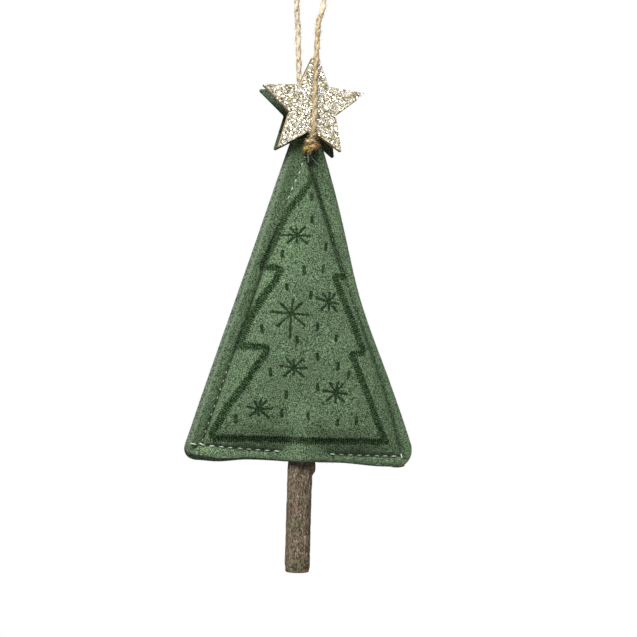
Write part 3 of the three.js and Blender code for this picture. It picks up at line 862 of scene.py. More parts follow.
# %% [markdown]
# ## A fine skin for a felt panel
#
# The drawing on the front is finer than half a millimetre, so the front skin needs points about
# that close. Rings that shrink towards the middle would stretch into slivers near the top of such
# a tall triangle. So the middle of the panel is a grid of rows, and only the outer part, where
# the felt drops to the seam and turns to the cut edge, is made of rings. Each ring has one point
# for each point on the rim of the grid. After the cut edge the rings go on along the inside.

# %% Rings round the tree


def run_along(path):
    """The length of a path up to each of its points."""
    return np.concatenate([[0], np.cumsum(np.linalg.norm(np.diff(path, axis=0), axis=1))])


def spread(path, count):
    """Points along a path at equal steps, its last point left out."""
    run = run_along(path)
    at = np.linspace(0, run[-1], count, endpoint=False)
    return np.stack([np.interp(at, run, path[:, k]) for k in range(2)], 1)


def corner_circle(corners, k, radius):
    """The circle that rounds a corner: its centre, where it begins and ends, half the angle."""
    before = unit(corners[k - 1] - corners[k])
    after = unit(corners[(k + 1) % len(corners)] - corners[k])
    half = math.acos(before @ after) / 2
    centre = corners[k] + unit(before + after) * radius / math.sin(half)
    ends = [corners[k] + side * radius / math.tan(half) for side in (before, after)]
    return centre, *ends, half


ARC_STEPS = 24
MIDWAY = ARC_STEPS // 2
SIDE_POINTS = 160


def rounded_outline(corners, radii, bows):
    """Four runs of a rounded triangle: round the top, down the left, the bottom, up the right."""
    arcs = []
    for k in range(3):
        centre, begin, _, half = corner_circle(corners, k, radii[k])
        arm = begin - centre
        angles = np.linspace(0, math.pi - 2 * half, ARC_STEPS + 1)
        cos, sin = np.cos(angles), np.sin(angles)
        arcs.append(centre + np.stack([arm[0] * cos - arm[1] * sin, arm[0] * sin + arm[1] * cos], 1))
    sides = []
    for k in range(3):
        share = np.linspace(0, 1, SIDE_POINTS)[:, None]
        side = arcs[k][-1] * (1 - share) + arcs[(k + 1) % 3][0] * share
        sides.append(side - side_of(corners, k)[2] * bows[k](share))
    # an arc follows the side before it down, and comes back along its length
    step = sides[1][-1] - arcs[2][0]
    arcs[2] = arcs[2] + step * (1 - smooth_share(np.linspace(0, 1, ARC_STEPS + 1), 0, 1))[:, None]
    return [
        arcs[0],
        np.vstack([sides[0], arcs[1][: MIDWAY + 1]]),
        np.vstack([arcs[1][MIDWAY:], sides[1], arcs[2][: MIDWAY + 1]]),
        np.vstack([arcs[2][MIDWAY:], sides[2]]),
    ]


EDGE_RUNS = rounded_outline(EDGE_CORNERS, EDGE_RADII, EDGE_BOWS)
SEAM_RUNS = rounded_outline(SEAM_CORNERS, SEAM_RADII, SEAM_BELLIES)
print("length of the cut edge:", round(sum(run_along(run)[-1] for run in EDGE_RUNS)), "mm")

# %% The grid in the middle, and the rings round it
CORE_INSET = 3.2
CORE_TOP_WIDTH = 3.0


def core_grid(rows, columns):
    """Rows of points from the top of the core triangle down to its bottom."""
    top, low_left, low_right = inset_corners(SEAM_CORNERS, [(CORE_INSET,) * 2] * 3)
    slope = (low_right[0] - low_left[0]) / (top[1] - low_left[1])
    z = np.linspace(top[1] - CORE_TOP_WIDTH / slope, low_left[1], rows)[:, None]
    down = (top[1] - z) / (top[1] - low_left[1])
    x_left, x_right = (top[0] + (low[0] - top[0]) * down for low in (low_left, low_right))
    across = np.linspace(0, 1, columns)
    return np.stack([x_left * (1 - across) + x_right * across, np.repeat(z, columns, 1)], 2)


def rim_index(rows, columns):
    """Positions in the grid round its rim: along the top to the left, down, right and up."""
    index = np.arange(rows * columns).reshape(rows, columns)
    return np.concatenate([index[0, :0:-1], index[:-1, 0], index[-1, :-1], index[:0:-1, -1]])


def panel_plan(rows, columns, drop_steps, flange_steps):
    """The flat plan of a panel's outer face: its grid, and its rings from the core outwards."""
    core = core_grid(rows, columns)
    rim = core.reshape(-1, 2)[rim_index(rows, columns)]
    counts = [columns - 1, rows - 1] * 2
    seam, edge = (
        np.vstack([spread(run, count) for run, count in zip(runs, counts)])
        for runs in (SEAM_RUNS, EDGE_RUNS)
    )
    drop = np.linspace(0, 1, drop_steps + 1)[1:, None, None] ** 0.8
    flange = np.linspace(0, 1, flange_steps + 1)[1:, None, None]
    return core, np.vstack([rim + (seam - rim) * drop, seam + (edge - seam) * flange])


def band(inner, outer):
    """Faces between two rings of points."""
    return np.stack([inner, outer, np.roll(outer, -1), np.roll(inner, -1)], 1).tolist()


def fan(ring, tip):
    """Faces from a ring to one point."""
    return np.stack([ring, np.full(len(ring), tip), np.roll(ring, -1)], 1).tolist()


def closed_skin(core, rings, pole):
    """Points and faces of the grid, the rings round it and a last point that closes them."""
    rows, columns = core.shape[:2]
    points = np.vstack([core.reshape(-1, 3), rings.reshape(-1, 3), [pole]])
    index = np.arange(rows * columns).reshape(rows, columns)
    grid = np.stack([index[:-1, :-1], index[1:, :-1], index[1:, 1:], index[:-1, 1:]], 2)
    faces = grid.reshape(-1, 4).tolist()
    inner = rim_index(rows, columns)
    for outer in np.arange(rows * columns, len(points) - 1).reshape(len(rings), -1):
        faces += band(inner, outer)
        inner = outer
    return points, faces + fan(inner, len(points) - 1)


def capped_rings(rings, poles):
    """Points and faces of a closed form made of rings, with a point that closes each end."""
    index = np.arange(rings.shape[0] * rings.shape[1]).reshape(rings.shape[:2])
    faces = [face for low, high in zip(index, index[1:]) for face in band(low, high)]
    faces += [face[::-1] for face in fan(index[0], index.size)] + fan(index[-1], index.size + 1)
    return np.vstack([rings.reshape(-1, 3), poles]), faces


def edit(mesh, change):
    """Runs a change on a mesh in Blender's editing form."""
    form = bmesh.new()
    form.from_mesh(mesh)
    change(form)
    form.to_mesh(mesh)
    form.free()


def turn_outwards(form):
    if form.calc_volume(signed=True) < 0:
        bmesh.ops.reverse_faces(form, faces=form.faces)


def mesh_piece(name, points, faces, material, **values):
    """A closed mesh in metres whose faces point outwards, with a value for each point."""
    piece = plain_piece(name, points, faces=faces)
    mesh = piece.data
    edit(mesh, turn_outwards)
    mesh.shade_smooth()
    mesh.materials.append(material)
    for label, numbers in values.items():
        layer = mesh.attributes.new(label, "FLOAT", "POINT")
        layer.data.foreach_set("value", np.asarray(numbers, np.float32))
    print(name, len(points), "points,", len(faces), "faces")
    return piece


# %% [markdown]
# ## Stuffing by cloth simulation
#
# The crown is first a plain rule, which looks too regular. So a coarse pillow with the same seam
# is blown up as cloth. Its seam is pinned, because the stitches hold it, and the mouth round the
# twig is held too. The solver behaves best at the size of furniture, so the pillow is made ten
# times too big. What it gives is not used as a mesh but as a field: how far each place of the
# felt moved. The fine skins then move by that much, less than a millimetre anywhere.

# %% A coarse pillow with the tree's seam, and where it is free to swell
SIM_SCALE = 10.0
SWELL_CAP = 0.9
START_SHARE = 0.88
STAR_HOLD = (15.0, 27.0)
SEAM_HOLD = 3.0
PILLOW_COUNTS = (4, 74, 48, 74)


def free_share(p):
    """1 where the felt may move; 0 on the flange, at the mouth and under the stars."""
    seam = smooth_share(from_seam(p)[0], 0, SEAM_HOLD)
    star = smooth_share(np.hypot(p[..., 0], p[..., 1]), *STAR_HOLD)
    return seam * star * (1 - np.clip(1.6 * mouth_share(p), 0, 1))


def start_y(p, side):
    """The felt's inner face before it is stuffed: a little flatter than the crown."""
    return inner_y(p, side) * (1 - (1 - START_SHARE) * free_share(p))


def coarse_pillow():
    """Rings from the seam in to the middle, for the front and the back, with one seam ring."""
    seam = np.vstack([spread(run, count) for run, count in zip(SEAM_RUNS, PILLOW_COUNTS)])
    shares = np.linspace(0, 1, 21)[:-1] ** 1.1
    rings = seam + (SEAM_CENTRE - seam) * shares[:, None, None]
    count = len(seam)
    plan = np.vstack([rings.reshape(-1, 2), [SEAM_CENTRE]])
    size = len(plan)
    faces = []
    index = np.arange(size - 1).reshape(len(shares), count)
    for a, b in zip(index, index[1:]):
        faces += np.stack([a, np.roll(a, -1), np.roll(b, -1), b], 1).tolist()
    last = index[-1]
    faces += np.stack([last, np.roll(last, -1), np.full(count, size - 1)], 1).tolist()
    back = [[v if v < count else v + size - count for v in face[::-1]] for face in faces]
    front = np.stack([plan[:, 0], start_y(plan, -1), plan[:, 1]], 1)
    front[:count, 1] = 0
    rear = np.stack([plan[count:, 0], start_y(plan[count:], 1), plan[count:, 1]], 1)
    hold = 1 - free_share(plan)
    hold[:count] = 1
    # the seam ring belongs to both sides
    shared = np.concatenate([index[0], np.arange(size, 2 * size - count)])
    hold = np.concatenate([hold, hold[count:]])
    return np.vstack([front, rear]), faces + back, hold, {-1: np.arange(size), 1: shared}


# %% Swell it as cloth and keep its movement
CLOTH = dict(
    quality=6, mass=0.3, tension_stiffness=15, compression_stiffness=15, shear_stiffness=5,
    bending_stiffness=0.5, use_pressure=True, uniform_pressure_force=4, vertex_group_mass="held",
)
LAST_STEP = 20


def swell_field():
    """How far the felt of the front and of the back moves when the tree is stuffed."""
    points, faces, hold, sides = coarse_pillow()
    mesh = bpy.data.meshes.new("pillow")
    mesh.from_pydata((points * MM * SIM_SCALE).tolist(), [], faces)
    pillow = new_piece("pillow", mesh)
    group = pillow.vertex_groups.new(name="held")
    for k, weight in enumerate(hold):
        group.add([k], float(weight), "REPLACE")
    settings = pillow.modifiers.new("swell", "CLOTH").settings
    for name, value in CLOTH.items():
        setattr(settings, name, value)
    settings.effector_weights.gravity = 0
    for step in range(1, LAST_STEP + 1):
        bpy.context.scene.frame_set(step)
    evaluated = pillow.evaluated_get(bpy.context.evaluated_depsgraph_get())
    moved = np.array([v.co for v in evaluated.data.vertices]) / (MM * SIM_SCALE) - points
    bpy.context.scene.frame_set(1)
    bpy.data.objects.remove(pillow)
    reach = np.linalg.norm(moved, axis=1)
    most, middle = round(reach.max(), 2), round(np.median(reach), 2)
    print("cloth moved by", most, "mm at most,", middle, "mm typically")
    moved *= (SWELL_CAP * np.tanh(reach / SWELL_CAP) / np.maximum(reach, 1e-6))[:, None]
    return {side: (points[own], moved[own]) for side, own in sides.items()}


field = swell_field()

# %% Read the movement at any place of the felt
NEIGHBOURS = 24


def swell_at(p, side):
    """The cloth's movement at points of the plan, a smooth blend from the points near them."""
    result = np.zeros((len(p), 3))
    if field is None:
        return result
    points, moved = field[side]
    tree = kdtree.KDTree(len(points))
    for k, point in enumerate(points):
        tree.insert((point[0], 0, point[2]), k)
    tree.balance()
    for k in np.nonzero(from_seam(p)[0] > 0)[0]:
        near = tree.find_n((p[k, 0], 0, p[k, 1]), NEIGHBOURS)
        distance = np.array([n[2] for n in near])
        weights = (1 - (distance / distance[-1]) ** 2) ** 3
        result[k] = weights @ moved[[n[1] for n in near]] / weights.sum()
    return result

# %% [markdown]
# ## The drawing on the front
#
# A fir outline, six snowflakes and short falling dashes are scorched into the felt by a laser.
# They are ordinary winter motifs. Each is kept as a line or a short stroke, and each point of the
# front skin stores its distance from them, which the felt material turns into the drawing.

# %% Lines of the drawing, in millimetres from the hole
FIR_OUTLINE = [
    (1.2, -11.1), (-1.8, -15.5), (-4.5, -19.1), (-6.8, -21.9), (-8.3, -25.4), (-10.2, -29.6),
    (-12.1, -34.2), (-13.7, -38.0), (-15.0, -40.9), (-15.3, -42.6), (-12.5, -42.6), (-9.6, -43.2),
    (-11.2, -47.0), (-13.1, -49.9), (-15.4, -53.0), (-17.0, -56.2), (-18.9, -59.4), (-20.8, -63.9),
    (-22.1, -67.4), (-23.0, -70.2), (-20.5, -70.1), (-16.8, -70.3), (-13.8, -70.9), (-15.1, -74.1),
    (-17.4, -77.2), (-19.3, -80.4), (-21.6, -84.2), (-23.9, -87.4), (-26.5, -91.2), (-28.7, -95.1),
    (-30.6, -98.9), (-31.7, -101.5), (-29.9, -102.2), (-15.1, -102.2), (-1.3, -102.4), (13.0, -102.4),
    (29.6, -102.4), (27.9, -99.2), (26.6, -96.1), (25.0, -92.6), (23.5, -88.8), (21.9, -85.0),
    (20.4, -81.5), (18.8, -78.1), (17.3, -74.6), (16.5, -72.2), (20.7, -71.1), (19.2, -67.7),
    (18.0, -64.6), (16.5, -60.8), (14.7, -57.3), (13.0, -53.2), (11.3, -49.4), (9.5, -45.0),
    (13.4, -45.4), (12.9, -44.0), (11.7, -40.6), (9.7, -35.4), (7.9, -29.7), (6.3, -25.3),
    (4.0, -18.4), (2.3, -13.2), (1.2, -10.6),
]
SNOWFLAKES = [
    [(-4.4, -31.3), (-9.4, -31.4), (-6.5, -28.8), (-4.6, -29.1), (-1.7, -28.6), (0.2, -31.6),
     (-1.0, -34.0), (-4.3, -33.8), (-7.4, -34.1)],
    [(-5.8, -58.6), (-12.3, -58.1), (-9.3, -55.1), (-5.2, -53.8), (-2.1, -54.7), (0.2, -58.8),
     (-1.1, -62.3), (-5.9, -66.9), (-10.2, -62.9)],
    [(7.5, -54.1), (3.1, -53.0), (5.3, -51.3), (7.7, -50.9), (9.6, -51.4), (11.0, -54.7),
     (10.4, -57.3), (7.6, -56.6), (4.9, -56.8)],
    [(-4.2, -77.2), (-8.9, -76.6), (-6.5, -74.4), (-4.2, -74.4), (-1.1, -74.1), (0.4, -77.3),
     (-0.7, -80.3), (-4.1, -79.4), (-7.6, -80.2)],
    [(10.8, -85.5), (6.6, -84.9), (8.7, -82.2), (11.4, -82.1), (13.2, -82.6), (14.8, -85.9),
     (13.7, -88.6), (10.8, -89.0), (7.8, -88.4)],
    [(-16.0, -91.8), (-20.0, -91.0), (-17.4, -89.2), (-15.3, -88.6), (-13.5, -89.0), (-11.4, -91.5),
     (-12.4, -94.6), (-15.9, -93.9), (-18.9, -94.2)],
]
DASHES = [
    (0.7, -17.7), (0.9, -25.7), (-9.1, -38.0), (6.2, -35.0), (-1.6, -43.3), (5.2, -42.9), (-7.4, -49.4),
    (1.0, -51.9), (-15.6, -63.9), (3.7, -62.8), (-3.4, -67.5), (10.4, -66.6), (4.1, -73.2),
    (11.3, -76.4), (-12.3, -78.9), (15.2, -79.1), (4.4, -83.9), (-6.5, -86.6), (-23.7, -95.3),
    (-7.9, -93.0), (1.3, -93.7), (11.9, -95.9), (18.5, -95.0),
]
ARM_HALF_WIDTH = 0.46
DASH_HALF_WIDTH = 0.55
DASH_LENGTH = 1.9
FAR = 99.0
print("snowflakes:", len(SNOWFLAKES), "dashes:", len(DASHES))

# %% Distances from the drawing


def from_segment(p, a, b):
    """Distance of points from a segment, and how far along it the nearest place is."""
    a, b = np.asarray(a, float), np.asarray(b, float)
    along = b - a
    share = np.clip((p - a) @ along / (along @ along), 0, 1)
    return np.linalg.norm(p - a - share[:, None] * along, axis=1), share * np.linalg.norm(along)


def from_outline(p):
    """Distance from the fir outline and the run along it of the nearest place."""
    best, run, start = np.full(len(p), FAR), np.zeros(len(p)), 0.0
    for a, b in zip(FIR_OUTLINE, FIR_OUTLINE[1:]):
        distance, along = from_segment(p, a, b)
        run = np.where(distance < best, start + along, run)
        best = np.minimum(best, distance)
        start += math.dist(a, b)
    return best, run


def from_strokes(p):
    """Signed distance from the arms of the snowflakes and from the dashes, negative inside."""
    best = np.full(len(p), FAR)
    for centre, *tips in SNOWFLAKES:
        for tip in tips:
            distance, along = from_segment(p, centre, tip)
            half = ARM_HALF_WIDTH * (0.6 + 0.4 * along / math.dist(centre, tip))
            best = np.minimum(best, distance - half)
    for k, (x, z) in enumerate(DASHES):
        half = DASH_LENGTH / 2 * (1 + 0.15 * math.sin(5.0 * k))
        lean = 0.12 * math.sin(3.0 * k)
        distance = from_segment(p, (x - lean, z - half), (x + lean, z + half))[0]
        best = np.minimum(best, distance - DASH_HALF_WIDTH)
    return best


# %% [markdown]
# ## The two felt panels
#
# Each panel is one closed skin: the outer face with its seam groove, crown and curled flange, the
# cut edge, and the inner face towards the stuffing. Cut felt has soft corners, so the edge is
# rounded over half a millimetre. The thread pulls the felt down at the seam, most at each needle
# hole. The drawing is pressed in by a fifth of a millimetre, and a little noise gives the felt
# the slight unevenness of hand stuffing and of its nap.

# %% Points square to the curled flange
HALF_STACK = LAYER_GAP / 2 + FELT
SIDE_LEAN = np.array([0.4, 1.0])
SLOPE_STEPS = 0.05 * np.eye(2)


def inner_points(p, side, height=0.0):
    """Points of a panel at a height over its inner face, moved as the cloth moved.

    The felt keeps its thickness where the flange curls, so its cut edge tilts into view there.
    """
    middle = curl(p)
    lift = start_y(p, side) - middle + side * height
    slopes = [(curl(p + step) - curl(p - step)) / (2 * step.sum()) for step in SLOPE_STEPS]
    lean = np.stack(slopes, -1) * SIDE_LEAN
    lean = lean / np.sqrt(1 + (lean**2).sum(-1, keepdims=True))
    upright = np.sqrt(1 - (lean**2).sum(-1))
    plan = p - lean * (lift + np.sign(middle) * HALF_STACK)[:, None]
    points = np.stack([plan[:, 0], middle + lift * upright, plan[:, 1]], 1)
    return points + swell_at(p, side)


# %% Outer surface of a panel
CUT_ROUND = 0.55
PRINT_DEPTH = 0.2
OVERHANG = 0.9
OVERHANG_WIDTH = 1.7
FLANGE_ROLL = 0.3
EDGE_DROP = 0.8
EDGE_SOFT = 1.3


def lumps(p, size, shift):
    """Smooth noise between -1 and 1 at points of the plan."""
    return np.array([noise.noise((x / size + shift, z / size, shift)) for x, z in p])


def seam_hold(p):
    """1 where the seam is sewn, 0 in the open mouth."""
    sewn = smooth_share(np.abs(p[:, 0]) - mouth_half(p), -1, 3.5)
    return 1 - (1 - sewn) * (1 - smooth_share(inside_seam(p)[1], *MOUTH_TOP))


def seam_sink(p):
    """How deep the thread pulls the felt in, most at the needle holes."""
    off, nearest = from_seam(p)
    run = np.choose(nearest, [(p - start) @ along for start, along, _, _ in SEAM_SIDES])
    puckers = 1 + 0.22 * np.cos(2 * np.pi * run / STITCH) * bell(off / 2.2)
    deep = np.choose(nearest, SEAM_SINKS) * (1 - 0.7 * (nearest == 0) * smooth_share(p[:, 1], -45, -20))
    return deep * (bell(off / SEAM_WIDTH) + 0.12 * bell(off / 2.4)) * puckers * seam_hold(p)


def bulge(p):
    """The stuffing hangs a little over the right and the bottom seam of the front."""
    over = [
        OVERHANG * np.where(d > 0, d / OVERHANG_WIDTH * np.exp(1 - np.abs(d) / OVERHANG_WIDTH), 0)
        for d in inside_seam(p)[1:]
    ]
    x = -SEAM_SIDES[2][2][0] * over[1] * smooth_share(-p[:, 1], 0, 60)
    return np.stack([x, -0.1 * over[0] * (1 - mouth_share(p))], 1)


def outer_points(p, side):
    """Points of the outer face: a felt's thickness off the inner one, sunk and uneven."""
    seed = 3.0 if side < 0 else 41.0
    waves = free_share(p) * (0.32 * lumps(p, 13.0, seed) + 0.14 * lumps(p, 5.0, seed + 5))
    waves = waves + 0.06 * lumps(p, 1.3, seed + 9)
    outside = np.maximum(0, -from_seam(p)[0])
    roll = FLANGE_ROLL * (1 - bell(outside / 1.8))
    roll = roll - EDGE_DROP * bell(inside_edge(p) / EDGE_SOFT) * (outside > 0)
    points = inner_points(p, side, FELT - seam_sink(p) + waves + roll)
    if side < 0:
        points[:, [0, 2]] += bulge(p)
    return points


# %% Cut edge and inner face of a panel
CUT_ROWS = 8
INNER_SHARES = (0.04, 0.08, 0.13, 0.2, 0.3, 0.42, 0.56, 0.72, 0.87)


def inward_of(ring):
    """Directions in the plan that point into a closed ring."""
    along = unit(np.roll(ring, -1, 0) - np.roll(ring, 1, 0))
    return np.stack([-along[:, 1], along[:, 0]], 1)


def make_skin(side, rows, columns, drop_steps, flange_steps):
    """Points and faces of a panel, its cut edge, and the number of points on its outer face."""
    core, rings = panel_plan(rows, columns, drop_steps, flange_steps)
    edge = rings[-1]
    inward = inward_of(edge)
    share = np.linspace(0, 1, flange_steps + 1)[1:, None, None]
    rings[drop_steps:] = rings[drop_steps:] + inward * CUT_ROUND * share**2
    plan = np.vstack([core.reshape(-1, 2), rings.reshape(-1, 2)])
    outer = outer_points(plan, side)
    size = rows * columns
    outer_rings = outer[size:].reshape(len(rings), -1, 3)

    low, high = outer_points(edge, side), inner_points(edge, side)
    low[:, 1] = outer_rings[-1][:, 1]
    walls = []
    for t in np.linspace(0, 1, CUT_ROWS + 1)[1:]:
        inset = CUT_ROUND * abs(2 * t - 1) ** 4 + 0.07 * lumps(edge + 50 * t, 0.5, 7.0)
        at = low + (high - low) * t
        at[:, [0, 2]] += inward * np.maximum(inset, -0.02)[:, None]
        walls.append(at)
    inners = [inner_points(edge + (SEAM_CENTRE - edge) * t, side) for t in INNER_SHARES]
    pole = inner_points(SEAM_CENTRE[None], side)[0]

    all_rings = np.concatenate([outer_rings, walls, inners])
    points, faces = closed_skin(outer[:size].reshape(rows, columns, 3), all_rings, pole)
    cut = np.zeros(len(points))
    first = len(plan) - len(edge)
    cut[first : first + (CUT_ROWS + 1) * len(edge)] = 1
    cut[first : len(plan)] = 0.3
    return points, faces, cut, len(plan)


# %% What the felt material reads at each point
# width and depth of the painted shade along the seam
SEAM_SHADE_WIDTHS = (0.36, 0.4, 0.44)  # left, bottom, right
SEAM_SHADE_DEPTHS = (1.1, 0.35, 1.1)
# strength of the painted highlight on the ridge beside the cut: left, bottom, right
RIDGE_HIGHLIGHT_SIDES = (1.5, 0.5, 0.12)
RIDGE_HIGHLIGHT_FROM_CUT = 1.9
NO_PRINT = 9.0


def painted_shade_of(p):
    """Painted shade: darker felt in the seam's crease, beside the right seam, low on the crown's left
    strip and under the star.
    """
    off, nearest = from_seam(p)
    low, high = smooth_share(-p[:, 1], 40, 75), smooth_share(p[:, 1], -45, -20)
    left, right_side = nearest == 0, nearest == 2
    width = np.choose(nearest, SEAM_SHADE_WIDTHS) + 1.1 * low * right_side * (off < 0.2)
    depth = np.choose(nearest, SEAM_SHADE_DEPTHS) * (1 - 0.75 * high * left) * (1 - 0.35 * low * right_side)
    seam = np.maximum(bell((off - 0.2) / width) * depth, 0.25 * bell(off / 2.6) * right_side)
    # painted shade on the crown's left strip, low down
    shade = 0.15 * np.exp(-((off / 6) ** 4)) * low * left * (off > 0)
    seam = np.maximum(seam * seam_hold(p), shade) * (1 - 0.4 * smooth_share(p[:, 1], -12, -6))
    # painted shadow of the star over the top of the tree
    return np.maximum(seam, 0.35 * smooth_share(p[:, 1], -36, -9))


def worn_of(p):
    """Painted highlight: a pale line beside the cut edge where the flange's ridge would catch the light,
    strongest on the left.
    """
    return bell((inside_edge(p) - RIDGE_HIGHLIGHT_FROM_CUT) / 0.5) * np.choose(from_seam(p)[1], RIDGE_HIGHLIGHT_SIDES)


def print_of(p):
    """Distances from the strokes and the outline, which is thinner near the folded top."""
    stroke, (line, run) = from_strokes(p), from_outline(p)
    folded = smooth_share(p[:, 0] - 0.35 * (-11 - p[:, 1]), -1.5, 0.5) * smooth_share(p[:, 1], -50, -42)
    line = line + 0.02 + 0.35 * folded + 0.16 * smooth_share(p[:, 1], -34, -26) * (1 - folded)
    return stroke, line, run


# %% Front and back panel


def make_panel(name, side, *counts):
    points, faces, cut, outer_count = make_skin(side, *counts)
    p = points[:, [0, 2]]
    fray = 0.8 * smooth_share(-inside_edge(p), -1.9, -1.5) * (from_seam(p)[1] == 0)
    stroke, line, run = np.full(len(p), NO_PRINT), np.full(len(p), NO_PRINT), np.zeros(len(p))
    if side < 0:
        drawn = print_of(p[:outer_count])
        stroke[:outer_count], line[:outer_count], run[:outer_count] = drawn
        pressed = np.maximum(smooth_share(-stroke, -0.2, 0.15), 0.8 * smooth_share(-line, -1.1, -0.5))
        points[:, 1] += PRINT_DEPTH * pressed
    return mesh_piece(name, points, faces, tree_felt, cut=np.maximum(cut, fray), crease=painted_shade_of(p),
                      worn=worn_of(p), stroke=stroke, band=line, run=run)


front_felt = make_panel("front_felt", -1, 262, 168, 12, 13)
back_felt = make_panel("back_felt", 1, 120, 76, 9, 9)

# %% [markdown]
# ## Fibres that stand up from the felt
#
# Cut felt sheds fibres: they lie on the face in every direction and stick out at the edges, which
# makes the outline soft. Geometry Nodes scatter them: a seeded scatter of points over the skin, a
# random turn for each, and a thin bent needle as the instance. The needle is a three-sided tube
# that ends in a point, so thousands of them stay cheap. The same tree puts hairs on the twine.

# %% Geometry Nodes: scattered fibres
NEEDLE_RADIUS = 0.03


def make_fibre_scatter():
    g = Geometry("fibre_scatter", Per_Area=1.0e6, Shortest=0.0007, Longest=0.0016,
                 Thickness=0.00003, Lean=1.45, Seed=SEED)
    bend = g.arch(3, (0, 0, -0.06), (0.22, 0, 0.5), (-0.04, 0.06, 1))
    needle = g.tapered_tube(bend, 1.0 - g.path("Factor") * 0.8, g.ring(3, NEEDLE_RADIUS))
    spots = g.scatter()
    tilt = g.start["Lean"] * g.random(0.82, 1.04, 2)
    width = g.start["Thickness"] / NEEDLE_RADIUS
    size = g.xyz(width, width, g.random(g.start["Shortest"], g.start["Longest"], 3))
    turn = g.xyz(tilt, 0.0, g.random(0.0, FULL_TURN, 1))
    return g.dress(g.place(spots["Points"], needle, spots["Rotation"], turn, size))


fibre_scatter = make_fibre_scatter()

# %% Material of loose fibres: the colours of the felt or the jute, a little paler


def make_fibre_finish(name, first, second, with_stain_and_shade=False):
    m = Material(name, Roughness=0.8, Specular_IOR_Level=0.25)
    colour = m.mix(m.step(m.noise(m.place, 900.0), 0.4, 0.6), first, second)
    if with_stain_and_shade:
        colour = m.mix(1.0, colour, m.attribute("stain_and_shade", "Color"), "MULTIPLY")
    return m.finish(colour)


felt_fibre = make_fibre_finish("felt_fibre", rgba(0.1, 0.16, 0.085), rgba(0.27, 0.36, 0.235))
jute_fibre = make_fibre_finish("jute_fibre", rgba(0.55, 0.42, 0.25), rgba(0.92, 0.82, 0.62), True)

# %% Fibres on the felt and hairs on the twine


def grow_fibres(piece, name, material, outward=None, **values):
    """Fibres on a copy of a piece, or on those of its faces that look outwards."""
    mesh = piece.data.copy()

    def keep_outward(form):
        hidden = [face for face in form.faces if face.normal.y * outward < -0.2]
        bmesh.ops.delete(form, geom=hidden, context="FACES")

    if outward:
        edit(mesh, keep_outward)
    return run_tree(new_piece(name, mesh), fibre_scatter, material, **values)


front_fibres = grow_fibres(front_felt, "front_fibres", felt_fibre, -1, Per_Area=1.0e6, Seed=SEED)
back_fibres = grow_fibres(back_felt, "back_fibres", felt_fibre, 1, Per_Area=0.5e6, Seed=SEED + 1)
twine_hairs = grow_fibres(twine_loop, "twine_hairs", jute_fibre, Per_Area=1.3e6, Seed=SEED + 2,
                          Shortest=0.0008, Longest=0.0022, Thickness=0.00004, Lean=1.35)
knot_hairs = grow_fibres(knot, "knot_hairs", jute_fibre, Per_Area=7.0e6, Seed=SEED + 3,
                         Shortest=0.0007, Longest=0.0018, Thickness=0.00006, Lean=1.2)

# %% [markdown]
# ## Stitches
#
# The panels are joined by a machine seam in pale thread, 3.1 mm from stitch to stitch, which is
# left open at the bottom for the twig. One stitch is a short arch of thread that comes up through
# one needle hole and goes down through the next. Geometry Nodes repeat it along the seam line,
# with a slight random twist, because hand-guided seams wander.

# %% Material: sewing thread


def make_thread():
    m = Material("sewing_thread", Roughness=0.55, Sheen_Weight=0.3, Sheen_Roughness=0.3,
                 Specular_IOR_Level=0.4)
    inputs = {"Vector": m.place, "Scale": 900.0, "Distortion": 3.0}
    twist = m.add("ShaderNodeTexWave", inputs, bands_direction="DIAGONAL")[1]
    colour = m.mix(twist, rgba(0.55, 0.62, 0.5), rgba(0.86, 0.89, 0.8))
    return m.finish(m.scale(colour, drift_of(m, 0.004, 0.15)), twist, 0.00006, 0.8)


sewing_thread = make_thread()

# %% Geometry Nodes: a row of stitches
STITCH_ENDS = ((-0.33, 0, -0.2), (0, 0, 0.25), (0.33, 0, -0.2))  # in stitch lengths
TWIST = (0.1, 0.05, 0.12)


def make_stitch_row():
    g = Geometry("stitch_row", Stitch_Length=STITCH * MM, Thread_Radius=0.00018, Outward=(0, -1, 0))
    step, align = g.start["Stitch Length"], "FunctionNodeAlignRotationToVector"
    stitch = g.tube(g.arch(7, *STITCH_ENDS), g.ring(6, g.start["Thread Radius"] / step))
    seam = g.geo("MeshToCurve", {0: g.start["Geometry"]})
    holes = g.add("GeometryNodeCurveToPoints", {"Curve": seam, "Length": step}, mode="LENGTH")
    along = g.add(align, {"Vector": holes["Tangent"]}, axis="X")[0]
    inputs = {"Rotation": along, "Vector": g.start["Outward"]}
    facing = g.add(align, inputs, axis="Z", pivot_axis="X")[0]
    wander = g.random(tuple(-angle for angle in TWIST), TWIST, 5)
    return g.dress(g.place(holes["Points"], stitch, facing, wander, step))


stitch_row = make_stitch_row()

# %% The six threads, on the front and the back of three stretches of the seam
THREAD_RADIUS = {"left": 0.00015, "bottom": 0.00023, "right": 0.00021}
PAST_THE_CORNER = np.array([(-38.2, -103.8), (-36.9, -104.1)])
RUN_POINTS = 400
CORNER = SEAM_CORNERS[2][1]
# how far a thread stands over the felt, by height: drawn in at the sides, free at the bottom
THREAD_LIFTS = {
    "left": ((-78, -64, -24, -17), (-0.14, -0.45, -0.45, -0.02)),
    "bottom": ((0,), (0.36,)),
    "right": ((CORNER + 0.5, CORNER + 3), (0.42, -0.45)),
}


def seam_stretch(start, end):
    """The seam between two places, each given as a run number and a share of that run."""
    line = np.vstack([spread(run, RUN_POINTS) for run in SEAM_RUNS])
    return line[round(RUN_POINTS * sum(start)) : round(RUN_POINTS * sum(end)) + 1]


def mouth_edge(x):
    """Where the mouth begins, as a share of the bottom run."""
    return np.argmin(np.abs(spread(SEAM_RUNS[2], RUN_POINTS)[:, 0] - x)) / RUN_POINTS


